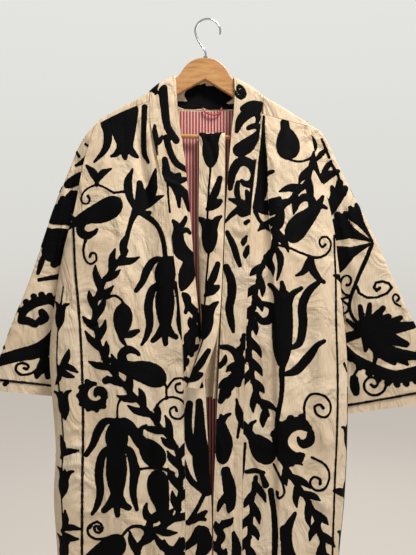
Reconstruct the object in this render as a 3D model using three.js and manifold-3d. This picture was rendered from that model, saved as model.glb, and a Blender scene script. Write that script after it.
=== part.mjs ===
// A long open-fronted suzani coat on a wooden clothes hanger, with its tie belt over the hanger's bar.
// Millimetres, +Z up. The coat's front faces -Y, and +X is the wearer's left.
// The origin is the point under the top of the hook's bend, where a rail carries the hanger.
// Every piece of cloth is a wall: its outside is a grid of points worked out from the tables below,
// and its inside is that grid moved in by the cloth's thickness.
import * as THREE from "three";
import { mergeVertices } from "three/addons/utils/BufferGeometryUtils.js";
import Module from "manifold-3d";

const wasm = await Module();
wasm.setup();

// ---- Driving dimensions ----
const CLOTH = 1.6; // embroidered cotton
const BAND = 2.4; // the front band, which is folded double
const LINING = 1.0; // striped cotton inside the back
const SEAM_GAP = 0.5; // between pieces that meet at a seam
const SHOULDER_GAP = 0.8; // the same, measured down the slope of the shoulder
const HEM_Z = -1260;
const UNDERARM_Z = -490;
const SIDE_ROUND = 55; // how far the side of the coat takes to turn from the front to the side seam
const ARMHOLE_TURN = THREE.MathUtils.degToRad(75); // the side's turn at the top of the armhole
const SHOULDER_HALF = 10.4; // half the depth of the shoulder over the hanger's arm
const SHOULDER_RISE = 8; // height of the shoulder's rounded top
const SHOULDER_SQUARE = 3; // how square that top is: 2 is an ellipse
const LINING_CLEAR = 0.5; // between the back and its lining
const LINING_SLACK = 8.4; // how much flatter than the back's folds the lining hangs
const LINING_EDGE = 0.62; // where its edge is on the turn of the side: 0 is the side seam, 1 the flat back
const CENTRE_X = -5; // the seam of the band at the back of the neck

const WOOD = 12; // thickness of the hanger
const WOOD_EDGE = 2; // rounding of its edges
const TILT = THREE.MathUtils.degToRad(1.5); // the hanger hangs a little low on the wearer's left
const SHANK_X = -3; // the hook's shank, beside the middle of its bend
const ARM_HALF = 208; // half the hanger's width
const ARM_SLOPE = 0.582; // fall of the arms for each millimetre outwards
const BAR_R = 4.5;
const BAR_Z = -245.5;
const BAR_HALF = 204;
const WIRE_R = 2;
const HOOK_R = 26.5; // middle of the wire, at the bend
const WOOD_TOP_Z = -81;
const BORE_GAP = 0.35;

const BELT_WIDTH = 54;
const BELT = 2.4;
const LOOP_R = 1.75; // the hanging loop's cord

// ---- The cloth's tables: heights run downwards ----
// The wearer's right front, seen on the left: the band's free edge, the band's seam and the side.
const RIGHT_FRONT = [
  { z: -180, free: -64, seam: -121, side: -229 },
  { z: -215, free: -60, seam: -120, side: -233 },
  { z: -300, free: -48, seam: -104, side: -258 },
  { z: -400, free: -38, seam: -84, side: -278 },
  { z: -500, free: -30, seam: -70, side: -306 },
  { z: -600, free: -21, seam: -58, side: -322 },
  { z: -700, free: -9, seam: -51, side: -332 },
  { z: -800, free: -4, seam: -49, side: -326 },
  { z: -900, free: 1, seam: -47, side: -319 },
  { z: -1000, free: 7, seam: -46, side: -323 },
  { z: -1130, free: 8, seam: -46, side: -315 },
  { z: -1260, free: 8, seam: -46, side: -315 },
];
// The wearer's left front, with the line of its long fold.
const LEFT_FRONT = [
  { z: -180, free: 55, seam: 113, fold: 125, side: 205 },
  { z: -217, free: 51, seam: 110, fold: 124, side: 210 },
  { z: -300, free: 44, seam: 100, fold: 123, side: 226 },
  { z: -400, free: 37, seam: 89, fold: 124, side: 254 },
  { z: -500, free: 33, seam: 85, fold: 131, side: 272 },
  { z: -600, free: 28, seam: 80, fold: 138, side: 282 },
  { z: -700, free: 24, seam: 76, fold: 143, side: 291 },
  { z: -800, free: 19, seam: 73, fold: 144, side: 292 },
  { z: -900, free: 15, seam: 71, fold: 145, side: 290 },
  { z: -1000, free: 11, seam: 70, fold: 145, side: 285 },
  { z: -1130, free: 11, seam: 69, fold: 145, side: 273 },
  { z: -1260, free: 11, seam: 68, fold: 143, side: 269 },
];
// How far the front and the back stand out from the hanger's own plane.
const DEPTH = [
  { z: -180, front: 10.4, back: 10.6 },
  { z: -230, front: 11.5, back: 12.2 },
  { z: -300, front: 14, back: 15 },
  { z: -400, front: 18, back: 20 },
  { z: -500, front: 23, back: 25 },
  { z: -600, front: 27, back: 28 },
  { z: -800, front: 32, back: 33 },
  { z: -1000, front: 36, back: 37 },
  { z: -1260, front: 40, back: 42 },
];
// The top of each shoulder, between the band's seam and the armhole.
// Its own seam lies down the front of it, by the drop.
const RIGHT_SHOULDER = [
  { x: -122, z: -152.6, drop: 20 },
  { x: -141, z: -163.2, drop: 17 },
  { x: -175, z: -180.8, drop: 13 },
  { x: -211, z: -201.2, drop: 10 },
  { x: -233, z: -214.4, drop: 9 },
];
const LEFT_SHOULDER = [
  { x: 115, z: -160.2, drop: 40 },
  { x: 162, z: -188.2, drop: 25 },
  { x: 195, z: -208.8, drop: 13 },
  { x: 210, z: -216.4, drop: 9 },
];
// Soft folds: x at the top and bottom, heights between which each shows, how far it rises and its widths.
const FRONT_FOLDS = [
  { name: "beside_right_band", x0: -140, x1: -72, z0: -200, z1: -760, rise: -6, left: 26, right: 14 },
  { name: "right_breast", x0: -185, x1: -150, z0: -300, z1: -1400, rise: 5, left: 40, right: 34 },
  { name: "right_flank", x0: -250, x1: -228, z0: -480, z1: -1400, rise: -5, left: 24, right: 26 },
  { name: "right_skirt", x0: -92, x1: -96, z0: -780, z1: -1400, rise: 6, left: 22, right: 20 },
  { name: "beside_left_band", x0: 112, x1: 96, z0: -240, z1: -1400, rise: -4, left: 14, right: 14 },
  { name: "left_breast", x0: 190, x1: 206, z0: -330, z1: -1400, rise: -4, left: 26, right: 28 },
  { name: "left_flank", x0: 232, x1: 242, z0: -520, z1: -1400, rise: 4, left: 18, right: 16 },
];
const LONG_FOLD = { rise: 11, left: 7, right: 62, z0: -190, z1: -300 };
const BACK_FOLDS = [
  { name: "blade_right", x0: -120, x1: -170, z0: -330, z1: -1400, rise: 7, left: 30, right: 26 },
  { name: "spine_right", x0: -52, x1: -74, z0: -400, z1: -1400, rise: -6, left: 24, right: 26 },
  { name: "spine", x0: 2, x1: -8, z0: -300, z1: -1400, rise: 7, left: 24, right: 26 },
  { name: "spine_left", x0: 56, x1: 70, z0: -430, z1: -1400, rise: -6, left: 26, right: 24 },
  { name: "blade_left", x0: 116, x1: 150, z0: -330, z1: -1400, rise: 7, left: 26, right: 30 },
  { name: "flank_left", x0: 196, x1: 206, z0: -560, z1: -1400, rise: -4, left: 20, right: 20 },
];
const FOLD_FADE = 120; // height over which a fold starts and ends
// How far the band's free edge rolls back into the opening.
const ROLL = { z: -580, reach: 190, right: 17, left: 9 };
// The band over the shoulder and round the neck: its free edge, its seam, and how far its middle stands out.
const RIGHT_COLLAR = [
  { free: [-63, -11.4, -190], seam: [-120.4, -10.9, -190], crown: 0.6 },
  { free: [-65, -11.4, -156], seam: [-120.9, -10.9, -174], crown: 1.5 },
  { free: [-66.5, -11.2, -130], seam: [-121.9, -10.6, -160.2], crown: 3 },
  { free: [-67, -9, -120.2], seam: [-122, -8.5, -153.4], crown: 4 },
  { free: [-67, 0, -118], seam: [-122, 0, -151.6], crown: 4 },
  { free: [-66, 9, -118.5], seam: [-122, 8.5, -153.4], crown: 3.5 },
  { free: [-63, 12.6, -118.5], seam: [-121.4, 10.6, -160.2], crown: 2 },
  { free: [-55, 15.4, -119], seam: [-114, 12.2, -173.5], crown: 0.8 },
  { free: [-38, 17.2, -120], seam: [-90, 12.9, -182.5], crown: 0 },
  { free: [-22, 18, -121.5], seam: [-48, 13.6, -185.5], crown: 0 },
  { free: [CENTRE_X, 18.4, -122], seam: [CENTRE_X, 13.8, -186.5], crown: 0 },
];
const LEFT_COLLAR = [
  { free: [54, -11.4, -190], seam: [112.4, -10.9, -190], crown: 0.6 },
  { free: [55.5, -11.4, -158], seam: [114.2, -10.9, -178], crown: 1 },
  { free: [55, -11.2, -133], seam: [114.8, -10.6, -168], crown: 2 },
  { free: [54.2, -9, -123.2], seam: [115, -8.5, -161.2], crown: 3 },
  { free: [53.4, 0, -121], seam: [115, 0, -159.4], crown: 3 },
  { free: [52, 9, -120.8], seam: [115, 8.5, -161.2], crown: 2.4 },
  { free: [48, 12.6, -120.2], seam: [114.4, 10.6, -168], crown: 1.4 },
  { free: [40, 15.4, -119.8], seam: [106, 12.2, -177.4], crown: 0.6 },
  { free: [26, 17.2, -120.5], seam: [78, 12.9, -183.4], crown: 0 },
  { free: [10, 18, -121.5], seam: [36, 13.6, -185.5], crown: 0 },
  { free: [CENTRE_X, 18.4, -122], seam: [CENTRE_X, 13.8, -186.5], crown: 0 },
];
const COLLAR_BACK = 6; // the first of those rows that is behind the shoulder
// Each sleeve lies flat between its upper fold and its underarm fold.
const RIGHT_SLEEVE = {
  upper: [
    [-229, 0, -217.4], [-240, 1, -225], [-252, 2, -238], [-269, 3, -263], [-286, 4, -300], [-305, 5, -347],
    [-326, 6, -399], [-342, 6.5, -447], [-357, 7, -491], [-386, 8, -571], [-420, 8, -655], [-462, 8, -777],
  ],
  under: [
    [-301, 0, -484], [-311, 3, -500], [-318, 12, -530], [-318, 28, -572], [-306, 42, -624], [-282, 53, -702],
    [-257, 58, -806],
  ],
};
const LEFT_SLEEVE = {
  upper: [
    [207, 0, -219.6], [222, 1, -226], [237, 2, -236], [250, 2, -256], [275, 3, -307], [292, 3, -342],
    [309, 4, -376], [334, 4, -420], [359, 5, -473], [391, 5, -546], [437, 5, -643], [506, 5, -796],
  ],
  under: [
    [266, 0, -484], [278, 3, -500], [285, 11, -530], [287, 23, -572], [285, 32, -628], [280, 38, -710],
    [280, 40, -837],
  ],
};
const SLEEVE_HALF = { armhole: 12, cuff: 13 };
// Folds of a sleeve: place between the underarm fold (0) and the upper fold (1), at its start and its end.
const SLEEVE_FOLDS = [
  { name: "elbow", at0: 0.62, at1: 0.3, from: 0.1, to: 0.75, rise: 3.4, width: 0.09 },
  { name: "forearm", at0: 0.4, at1: 0.62, from: 0.45, to: 1.2, rise: 2.6, width: 0.1 },
];
// The belt, from its hidden tail up over the bar to the tail that shows: curl is how far its width rolls up.
const BELT_BACK_TAIL = [
  { x: 9, y: -5, z: -792, twist: 52, curl: 230 },
  { x: 9, y: -3, z: -735, twist: 44, curl: 190 },
  { x: 8, y: 0, z: -665, twist: 34, curl: 140 },
  { x: 6, y: 3, z: -560, twist: 20, curl: 70 },
  { x: 6, y: 6, z: -420, twist: 6, curl: 16 },
  { x: 8.5, y: 7.2, z: -310, twist: 0, curl: 0 },
  { x: 8.5, y: 7.2, z: -262, twist: 0, curl: 0 },
];
const BELT_FRONT_TAIL = [
  { x: 8.5, y: -7.2, z: -262, twist: 0, curl: 0 },
  { x: 8.5, y: -7.8, z: -310, twist: 0, curl: 0 },
  { x: 7.5, y: -9, z: -400, twist: 4, curl: 14 },
  { x: 6, y: -13, z: -483, twist: 14, curl: 60 },
  { x: 4, y: -24, z: -580, twist: 24, curl: 110 },
  { x: 0, y: -38, z: -655, twist: 36, curl: 160 },
  { x: -14, y: -46, z: -710, twist: 44, curl: 200 },
  { x: -32, y: -49, z: -764, twist: 48, curl: 235 },
];

// ---- Helpers ----
const { cos, sin, abs, sign, sqrt, min, max, PI } = Math;
const smooth = (low, high, v) => THREE.MathUtils.smoothstep(v, low, high);
const mix = THREE.MathUtils.lerp;

// The value of one column where another column, the key, has a given value: a smooth curve through the rows.
function look(rows, key, value, column) {
  const falling = rows[0][key] > rows.at(-1)[key];
  const before = (a, b) => (falling ? a > b : a < b);
  const last = rows.length - 1;
  if (!before(rows[0][key], value)) return rows[0][column];
  if (!before(value, rows[last][key])) return rows[last][column];
  let k = 0;
  while (!before(value, rows[k + 1][key])) k++;
  const [a, b] = [rows[k], rows[k + 1]];
  const slope = (p, q) => (q[column] - p[column]) / (q[key] - p[key]);
  const span = b[key] - a[key];
  const t = (value - a[key]) / span;
  const inA = slope(rows[max(k - 1, 0)], b) * span;
  const inB = slope(a, rows[min(k + 2, last)]) * span;
  return (
    (2 * t ** 3 - 3 * t ** 2 + 1) * a[column] + (t ** 3 - 2 * t ** 2 + t) * inA +
    (3 * t ** 2 - 2 * t ** 3) * b[column] + (t ** 3 - t ** 2) * inB
  );
}

// Rows that name x, y and z, with at: each row's share of the length along them.
function measured(rows) {
  let length = 0;
  const lengths = rows.map((row, k) => {
    const p = rows[max(k - 1, 0)];
    length += Math.hypot(row.x - p.x, row.y - p.y, row.z - p.z);
    return length;
  });
  return rows.map((row, k) => ({ ...row, at: lengths[k] / length }));
}
const asRows = (points) => measured(points.map(([x, y, z]) => ({ x, y, z })));
const pointOn = (rows, at) =>
  new THREE.Vector3(look(rows, "at", at, "x"), look(rows, "at", at, "y"), look(rows, "at", at, "z"));

// Places along a panel: each part of it split into its own number of cells.
function spread(parts) {
  const places = [parts[0].from];
  for (const { from, to, cells } of parts)
    for (let k = 1; k <= cells; k++) places.push(mix(from, to, k / cells));
  return places;
}

// A cloth wall. grid[j][i] is a point of its outside, with i to the right and j down as seen from outside.
// shape.round joins the last column to the first, shape.has(i, j) says which cells exist,
// and shape.inward(i, j) gives the way in at an edge that meets another piece.
function clothWall(grid, thickness, shape = {}) {
  const rows = grid.length;
  const columns = grid[0].length;
  const cellsAcross = shape.round ? columns : columns - 1;
  const id = (i, j) => j * columns + (i % columns);
  const faces = [];
  for (let j = 0; j < rows - 1; j++)
    for (let i = 0; i < cellsAcross; i++) {
      if (shape.has && !shape.has(i, j)) continue;
      const [a, b, c, d] = [id(i, j), id(i + 1, j), id(i, j + 1), id(i + 1, j + 1)];
      faces.push([a, c, d], [a, d, b]);
    }
  const outside = grid.flat();
  const ways = outside.map(() => new THREE.Vector3());
  for (const [a, b, c] of faces) {
    const u = outside[b].clone().sub(outside[a]);
    const across = u.cross(outside[c].clone().sub(outside[a]));
    for (const v of [a, b, c]) ways[v].sub(across);
  }
  const inside = outside.map((p, k) => {
    const own = shape.inward && shape.inward(k % columns, Math.floor(k / columns));
    const way = own || ways[k].normalize();
    return p.clone().addScaledVector(way, thickness);
  });
  const n = outside.length;
  const used = new Set(faces.flatMap(([a, b, c]) => [`${a},${b}`, `${b},${c}`, `${c},${a}`]));
  const index = [];
  for (const [a, b, c] of faces) index.push(a, b, c, n + a, n + c, n + b);
  for (const edge of used) {
    const [a, b] = edge.split(",").map(Number);
    if (!used.has(`${b},${a}`)) index.push(b, a, n + a, b, n + a, n + b);
  }
  const geometry = new THREE.BufferGeometry();
  const numbers = [...outside, ...inside].flatMap((p) => [...p]);
  geometry.setAttribute("position", new THREE.Float32BufferAttribute(numbers, 3));
  geometry.setIndex(index);
  const closed = geometry.toNonIndexed();
  closed.computeVertexNormals();
  return closed;
}

function solid(geometry) {
  const bare = geometry.clone();
  for (const name of ["normal", "uv"]) bare.deleteAttribute(name);
  const merged = mergeVertices(bare, 1e-3);
  return new wasm.Manifold(
    new wasm.Mesh({
      numProp: 3,
      vertProperties: merged.attributes.position.array,
      triVerts: new Uint32Array(merged.index.array),
    }),
  );
}

function geometryOf(made) {
  const mesh = made.getMesh();
  const geometry = new THREE.BufferGeometry();
  geometry.setAttribute("position", new THREE.Float32BufferAttribute(mesh.vertProperties, 3));
  geometry.setIndex([...mesh.triVerts]);
  const flat = geometry.toNonIndexed();
  flat.computeVertexNormals();
  return flat;
}

function finish(color, roughness, metalness = 0) {
  return new THREE.MeshStandardMaterial({ color, roughness, metalness });
}
const CREAM = finish(0xd9c3a0, 0.9);
const STRIPED = finish(0xb4585a, 0.85);
const BEECH = finish(0xc28a55, 0.45);
const CHROME = finish(0xb9bdc0, 0.25, 1);
const PINK = finish(0xd8606a, 0.7);

function piece(name, geometry, material) {
  const mesh = new THREE.Mesh(geometry, material);
  mesh.name = name;
  return mesh;
}

// ---- The coat's form ----
// One soft fold: a bump with its own width on each side, fading at its ends.
function foldRise(fold, x, z) {
  const centre = mix(fold.x0, fold.x1, (fold.z0 - z) / (fold.z0 - HEM_Z));
  const width = x < centre ? fold.left : fold.right;
  const show = smooth(-fold.z0, -fold.z0 + FOLD_FADE, -z) * (1 - smooth(-fold.z1 - FOLD_FADE, -fold.z1, -z));
  return fold.rise * show * Math.exp(-(((x - centre) / width) ** 2));
}
const foldsAt = (folds, x, z) => folds.reduce((sum, fold) => sum + foldRise(fold, x, z), 0);

function longFoldRise(x, z) {
  const centre = look(LEFT_FRONT, "z", z, "fold");
  const width = x < centre ? LONG_FOLD.left : LONG_FOLD.right;
  return LONG_FOLD.rise * smooth(-LONG_FOLD.z0, -LONG_FOLD.z1, -z) * Math.exp(-(((x - centre) / width) ** 2));
}

const frontDepth = (x, z) => look(DEPTH, "z", z, "front") + foldsAt(FRONT_FOLDS, x, z) + longFoldRise(x, z);
// The back stands out a little more below the neck.
function napeRise(x, z) {
  return 2.6 * Math.exp(-(((x - CENTRE_X) / 70) ** 2)) * (1 - smooth(190, 330, -z));
}
function backDepth(x, z) {
  return look(DEPTH, "z", z, "back") + napeRise(x, z) + foldsAt(BACK_FOLDS, x, z);
}

// The turn of the coat's side at its edge: none below the underarm, where front and back meet.
function edgeTurn(z, top) {
  return z > UNDERARM_Z ? ARMHOLE_TURN * sqrt(min(1, (z - UNDERARM_Z) / (top - UNDERARM_Z))) : 0;
}

const SIDES = {
  right: {
    way: -1, front: RIGHT_FRONT, shoulder: RIGHT_SHOULDER, collar: RIGHT_COLLAR, roll: ROLL.right,
    sleeve: RIGHT_SLEEVE,
  },
  left: {
    way: 1, front: LEFT_FRONT, shoulder: LEFT_SHOULDER, collar: LEFT_COLLAR, roll: ROLL.left,
    sleeve: LEFT_SLEEVE,
  },
};
const ridgeZ = (side, x) => look(side.shoulder, "x", x, "z");
const dropAt = (side, x) => look(side.shoulder, "x", x, "drop");
const tipZ = (side) => side.shoulder.at(side.way > 0 ? -1 : -1).z;

// A point of the side, turned by an angle from its edge (0 is the side seam) to flat (a right angle).
function sidePoint(side, share, z, face) {
  const edge = look(side.front, "z", z, "side");
  const start = edgeTurn(z, tipZ(side));
  const turn = mix(start, PI / 2, share);
  const x = edge - side.way * SIDE_ROUND * (cos(start) - cos(turn));
  const depth = face < 0 ? frontDepth(x, z) : backDepth(x, z);
  const gap = start === 0 && share === 0 ? SEAM_GAP / 2 : 0;
  return new THREE.Vector3(x, face * max(depth * sin(turn), gap), z);
}
const roundX = (side, z) => sidePoint(side, 1, z, -1).x;

// ---- Fronts ----
const TOP_CELLS = 3;
const LEVELS = [
  -300, -350, -400, -440, -466, -481, UNDERARM_Z, -525, -580, -640, -705, -775, -850, -930, -1010, -1095,
  -1180, HEM_Z,
];

// Places across a front: 0 is the band's seam, 1 and 2 the foot and top of its fold, 3 the start of the side's
// turn and 4 the edge.
const FRONT_PLACES = spread([
  { from: 0, to: 1, cells: 3 },
  { from: 1, to: 2, cells: 2 },
  { from: 2, to: 3, cells: 8 },
  { from: 3, to: 4, cells: 5 },
]);

function frontX(side, place, z) {
  const seam = look(side.front, "z", z, "seam") + side.way * SEAM_GAP;
  const fold = side.way > 0 ? look(side.front, "z", z, "fold") : seam - 46;
  const foot = side.way > 0 ? min(fold - 8, mix(seam, fold, 0.7)) : seam - 22;
  const stops = [seam, foot, fold, roundX(side, z)];
  const k = min(Math.floor(place), 2);
  return mix(stops[k], stops[k + 1], place - k);
}

function frontPoint(side, place, z) {
  if (place > 3) return sidePoint(side, 4 - place, z, -1);
  const x = frontX(side, place, z);
  return new THREE.Vector3(x, -frontDepth(x, z), z);
}

// The heights of a front's points at one place across it, from its shoulder seam down.
function frontHeights(side, place) {
  let top = tipZ(side);
  for (let k = 0; k < 6; k++) {
    const x = frontPoint(side, place, top).x;
    top = ridgeZ(side, x) - dropAt(side, x) - SHOULDER_GAP;
  }
  const heights = [];
  for (let k = 0; k < TOP_CELLS; k++) heights.push(mix(top, LEVELS[0], k / TOP_CELLS));
  return [...heights, ...LEVELS];
}

function frontPanel(side) {
  const places = side.way > 0 ? FRONT_PLACES : [...FRONT_PLACES].reverse();
  const column = (place) => frontHeights(side, place).map((z) => frontPoint(side, place, z));
  const columns = places.map(column);
  const grid = columns[0].map((_, j) => columns.map((points) => points[j]));
  const seamColumn = side.way > 0 ? 0 : places.length - 1;
  const edgeColumn = places.length - 1 - seamColumn;
  const inward = (i, j) => {
    if (i === edgeColumn && grid[j][i].z <= UNDERARM_Z) return new THREE.Vector3(-side.way, 0, 0);
    if (i === seamColumn || j === 0) return new THREE.Vector3(0, 1, 0);
    return null;
  };
  return clothWall(grid, CLOTH, { inward });
}

// ---- Front bands ----
const BAND_ACROSS = [0, 0.25, 0.5, 0.75, 1];

// A band's lines, from the hem up and round to the back of the neck: its free edge, its seam and its crown.
function bandLines(side) {
  const rows = [];
  const above = frontHeights(side, 0).slice(1, TOP_CELLS);
  for (const z of [...above, ...LEVELS].reverse()) {
    const free = look(side.front, "z", z, "free");
    const seam = look(side.front, "z", z, "seam");
    const back = side.roll * Math.exp(-(((z - ROLL.z) / ROLL.reach) ** 2));
    rows.push({
      free: [free, -look(DEPTH, "z", z, "front") + back - 0.6, z],
      seam: [seam, -frontDepth(seam, z) - 0.5, z],
      crown: 0.6,
    });
  }
  const start = rows.length;
  rows.push(...side.collar);
  const free = asRows(rows.map((row) => row.free));
  const seam = asRows(rows.map((row) => row.seam));
  const line = (k) => {
    const [low, high] = [Math.floor(k), Math.ceil(k)];
    const between = (list, key) => (list[low][key] + list[high][key]) / 2;
    return {
      free: pointOn(free, between(free, "at")),
      seam: pointOn(seam, between(seam, "at")),
      crown: between(rows, "crown"),
    };
  };
  const lines = rows.map((_, k) => line(k));
  // The collar's rows are few, so a line is added halfway between each two of them.
  const collar = [];
  for (let k = start; k <= rows.length - 1; k += 0.5) collar.push(line(k));
  return { lines: [...lines.slice(0, start), ...collar], collar };
}

// The way out of the shoulder's rounded top, for a point that far in front of its ridge or behind it.
function shoulderOut(y) {
  const share = min(1, abs(y) / SHOULDER_HALF);
  const level = share ** (SHOULDER_SQUARE - 1) / SHOULDER_HALF;
  const up = (1 - share ** SHOULDER_SQUARE) ** (1 - 1 / SHOULDER_SQUARE) / SHOULDER_RISE;
  return new THREE.Vector3(0, sign(y) * level, up).normalize();
}

function bandPanel(side) {
  const { lines } = bandLines(side);
  const across = side.way > 0 ? BAND_ACROSS : [...BAND_ACROSS].reverse();
  const bare = lines.map(({ free, seam }) => across.map((share) => free.clone().lerp(seam, share)));
  // The middle of the band stands out from the line between its edges.
  const grid = bare.map((row, j) =>
    row.map((p, i) => {
      const along = bare[min(j + 1, bare.length - 1)][i].clone().sub(bare[max(j - 1, 0)][i]);
      const out = row.at(-1).clone().sub(row[0]).cross(along).normalize();
      return p.clone().addScaledVector(out, lines[j].crown * sin(PI * across[i]));
    }),
  );
  grid.reverse();
  for (const p of grid[0]) p.x += (side.way * SEAM_GAP) / 2;
  const seamColumn = across.indexOf(1);
  const inward = (i, j) => {
    if (j === 0) return new THREE.Vector3(0, -1, 0);
    return i === seamColumn ? shoulderOut(grid[j][i].y).negate() : null;
  };
  return clothWall(grid, BAND, { inward });
}

// ---- Back ----
const WRAP_TURNS = [-90, -55, -25, 25, 55, 90].map(THREE.MathUtils.degToRad);
const WRAP_ROWS = WRAP_TURNS.length; // rows over the shoulder, after the one at its front seam
const NECK_X = { left: LEFT_SHOULDER[0].x + SEAM_GAP, right: RIGHT_SHOULDER[0].x - SEAM_GAP };

// The back's edge along the band's seam round the neck, from the wearer's left shoulder to the right one.
function neckPoints() {
  const half = (side) => {
    const { collar } = bandLines(side);
    const points = [];
    for (let k = 2 * COLLAR_BACK + 1; k < collar.length; k++) {
      const after = collar[min(k + 1, collar.length - 1)].seam;
      const along = after.clone().sub(collar[k - 1].seam);
      const apart = new THREE.Vector3(-along.z, 0, along.x).normalize();
      points.push(collar[k].seam.clone().addScaledVector(apart, SEAM_GAP * side.way));
    }
    return points;
  };
  return [...half(SIDES.left), ...half(SIDES.right).slice(0, -1).reverse()];
}
const NECK = neckPoints();

// Places across the back, from the wearer's left edge to the right edge: the neck is between 2 and 3.
const NECK_PLACES = NECK.map((p) => 2 + (NECK_X.left - p.x) / (NECK_X.left - NECK_X.right));
const BACK_PLACES = [
  ...spread([{ from: 0, to: 1, cells: 5 }, { from: 1, to: 2, cells: 7 }]),
  ...NECK_PLACES,
  ...spread([{ from: 3, to: 4, cells: 7 }, { from: 4, to: 5, cells: 5 }]),
];

// The rounded top of the shoulder, turned from its front (-90 degrees) to its back.
function shoulderPoint(side, x, turn) {
  const power = 2 / SHOULDER_SQUARE;
  const y = SHOULDER_HALF * sign(sin(turn)) * abs(sin(turn)) ** power;
  const z = ridgeZ(side, x) - SHOULDER_RISE * (1 - abs(cos(turn)) ** power);
  return new THREE.Vector3(x, y, z);
}

function backPoint(place, z) {
  if (place < 1) return sidePoint(SIDES.left, place, z, 1);
  if (place > 4) return sidePoint(SIDES.right, 5 - place, z, 1);
  const stops = [roundX(SIDES.left, z), NECK_X.left, NECK_X.right, roundX(SIDES.right, z)];
  const k = min(Math.floor(place - 1), 2);
  const x = mix(stops[k], stops[k + 1], place - 1 - k);
  return new THREE.Vector3(x, backDepth(x, z), z);
}

function backColumn(place) {
  const shoulderSide = place < 2.5 ? SIDES.left : SIDES.right;
  const points = [];
  let start = NECK[NECK_PLACES.indexOf(place)];
  if (start) {
    for (let k = 0; k <= WRAP_ROWS; k++) points.push(start.clone());
  } else {
    const x = backPoint(place, tipZ(shoulderSide)).x;
    const front = new THREE.Vector3(x, 0, ridgeZ(shoulderSide, x) - dropAt(shoulderSide, x));
    front.y = -frontDepth(x, front.z);
    points.push(front, ...WRAP_TURNS.map((turn) => shoulderPoint(shoulderSide, x, turn)));
    start = points.at(-1);
  }
  for (let k = 1; k < TOP_CELLS; k++) {
    points.push(backPoint(place, mix(start.z, LEVELS[0], k / TOP_CELLS)));
  }
  return [...points, ...LEVELS.map((z) => backPoint(place, z))];
}

function backGrid() {
  const columns = BACK_PLACES.map(backColumn);
  return columns[0].map((_, j) => columns.map((points) => points[j]));
}
const onNeckCell = (i) => BACK_PLACES[i] >= 2 && BACK_PLACES[i + 1] <= 3;

function backPanel() {
  const grid = backGrid();
  const last = BACK_PLACES.length - 1;
  const inward = (i, j) => {
    const point = grid[j][i];
    if ((i === 0 || i === last) && point.z <= UNDERARM_Z) return new THREE.Vector3(i === 0 ? -1 : 1, 0, 0);
    if (j === 0) return new THREE.Vector3(0, 1, 0);
    if (j === WRAP_ROWS && BACK_PLACES[i] > 2 && BACK_PLACES[i] < 3) return new THREE.Vector3(0, -1, 0);
    const besideBand = BACK_PLACES[i] === 2 || BACK_PLACES[i] === 3;
    if (j <= WRAP_ROWS && besideBand) return shoulderOut(point.y).negate();
    return null;
  };
  return clothWall(grid, CLOTH, { inward, has: (i, j) => j >= WRAP_ROWS || !onNeckCell(i) });
}

// ---- Lining: inside the back, from below the neck to just above the hem ----
// It hangs flatter than the back, clear of the back's folds.
function liningDepth(x, z) {
  const slack = mix(0.7, LINING_SLACK, smooth(300, 440, -z));
  return look(DEPTH, "z", z, "back") + napeRise(x, z) - CLOTH - LINING_CLEAR - slack;
}

function liningPoint(place, z) {
  const p = backPoint(place, z);
  return p.setY((p.y * liningDepth(p.x, z)) / backDepth(p.x, z));
}

function liningPanel() {
  const places = spread([
    { from: LINING_EDGE, to: 1, cells: 2 },
    { from: 1, to: 4, cells: 18 },
    { from: 4, to: 5 - LINING_EDGE, cells: 2 },
  ]);
  const heights = [-300, -370, -440, -525, -640, -775, -930, -1095, HEM_Z + 18];
  const column = (place) => {
    const side = place < 2.5 ? SIDES.left : SIDES.right;
    const edge = backPoint(place, tipZ(side)).x;
    const onNeck = edge < NECK_X.left && edge > NECK_X.right;
    const neck = NECK.reduce((near, p) => (abs(p.x - edge) < abs(near.x - edge) ? p : near));
    const top = onNeck ? neck.z - 3 : ridgeZ(side, edge) - SHOULDER_RISE - 6;
    const zs = [top, mix(top, heights[0], 0.5), ...heights];
    return zs.map((z) => liningPoint(place, z));
  };
  const columns = places.map(column);
  return clothWall(columns[0].map((_, j) => columns.map((points) => points[j])), LINING);
}

// ---- Sleeves ----
const SLEEVE_STATIONS = [0, 0.03, 0.07, 0.12, 0.19, 0.27, 0.36, 0.46, 0.57, 0.68, 0.79, 0.9, 1];
const RING_HALF = 14; // cells from the underarm fold to the upper fold
const SLEEVE_TUCK = 3; // how far the sleeve starts inside the armhole
const SLEEVE_UNDER = CLOTH + 1.8; // and how far under the body's cloth

// The place from the underarm fold (0) to the upper fold (1), closer together towards both.
const flatShare = (f) => (1 - cos(PI * f)) / 2;

function armholePoint(side, f, face) {
  const tip = side.shoulder.at(-1);
  const top = tip.z - SLEEVE_UNDER;
  const z = mix(UNDERARM_Z + 16, top, flatShare(f));
  const edge = look(side.front, "z", z, "side");
  const half = max(abs(sidePoint(side, 0, z, face).y) - SLEEVE_UNDER, 0);
  const crest = max(0, (z - (top - SHOULDER_RISE)) / SHOULDER_RISE);
  const round = max(0, 1 - crest ** SHOULDER_SQUARE) ** (1 / SHOULDER_SQUARE);
  const closing = f === 0 || f === 1 ? 0 : 1;
  return new THREE.Vector3(edge - side.way * SLEEVE_TUCK, face * half * round * closing, z);
}

function sleevePoint(side, lines, t, f, face) {
  const under = pointOn(lines.under, t);
  const upper = pointOn(lines.upper, t);
  const share = flatShare(f);
  const p = under.lerp(upper, share);
  const half = mix(SLEEVE_HALF.armhole, SLEEVE_HALF.cuff, t) * sin(PI * f) ** 0.8;
  let rise = 0;
  for (const fold of SLEEVE_FOLDS) {
    const centre = mix(fold.at0, fold.at1, (t - fold.from) / (fold.to - fold.from));
    const show = smooth(fold.from, fold.from + 0.15, t) * (1 - smooth(fold.to - 0.15, fold.to, t));
    rise += fold.rise * show * Math.exp(-(((share - centre) / fold.width) ** 2));
  }
  p.y += face * (f === 0 || f === 1 ? 0 : half + rise);
  return p;
}

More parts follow.
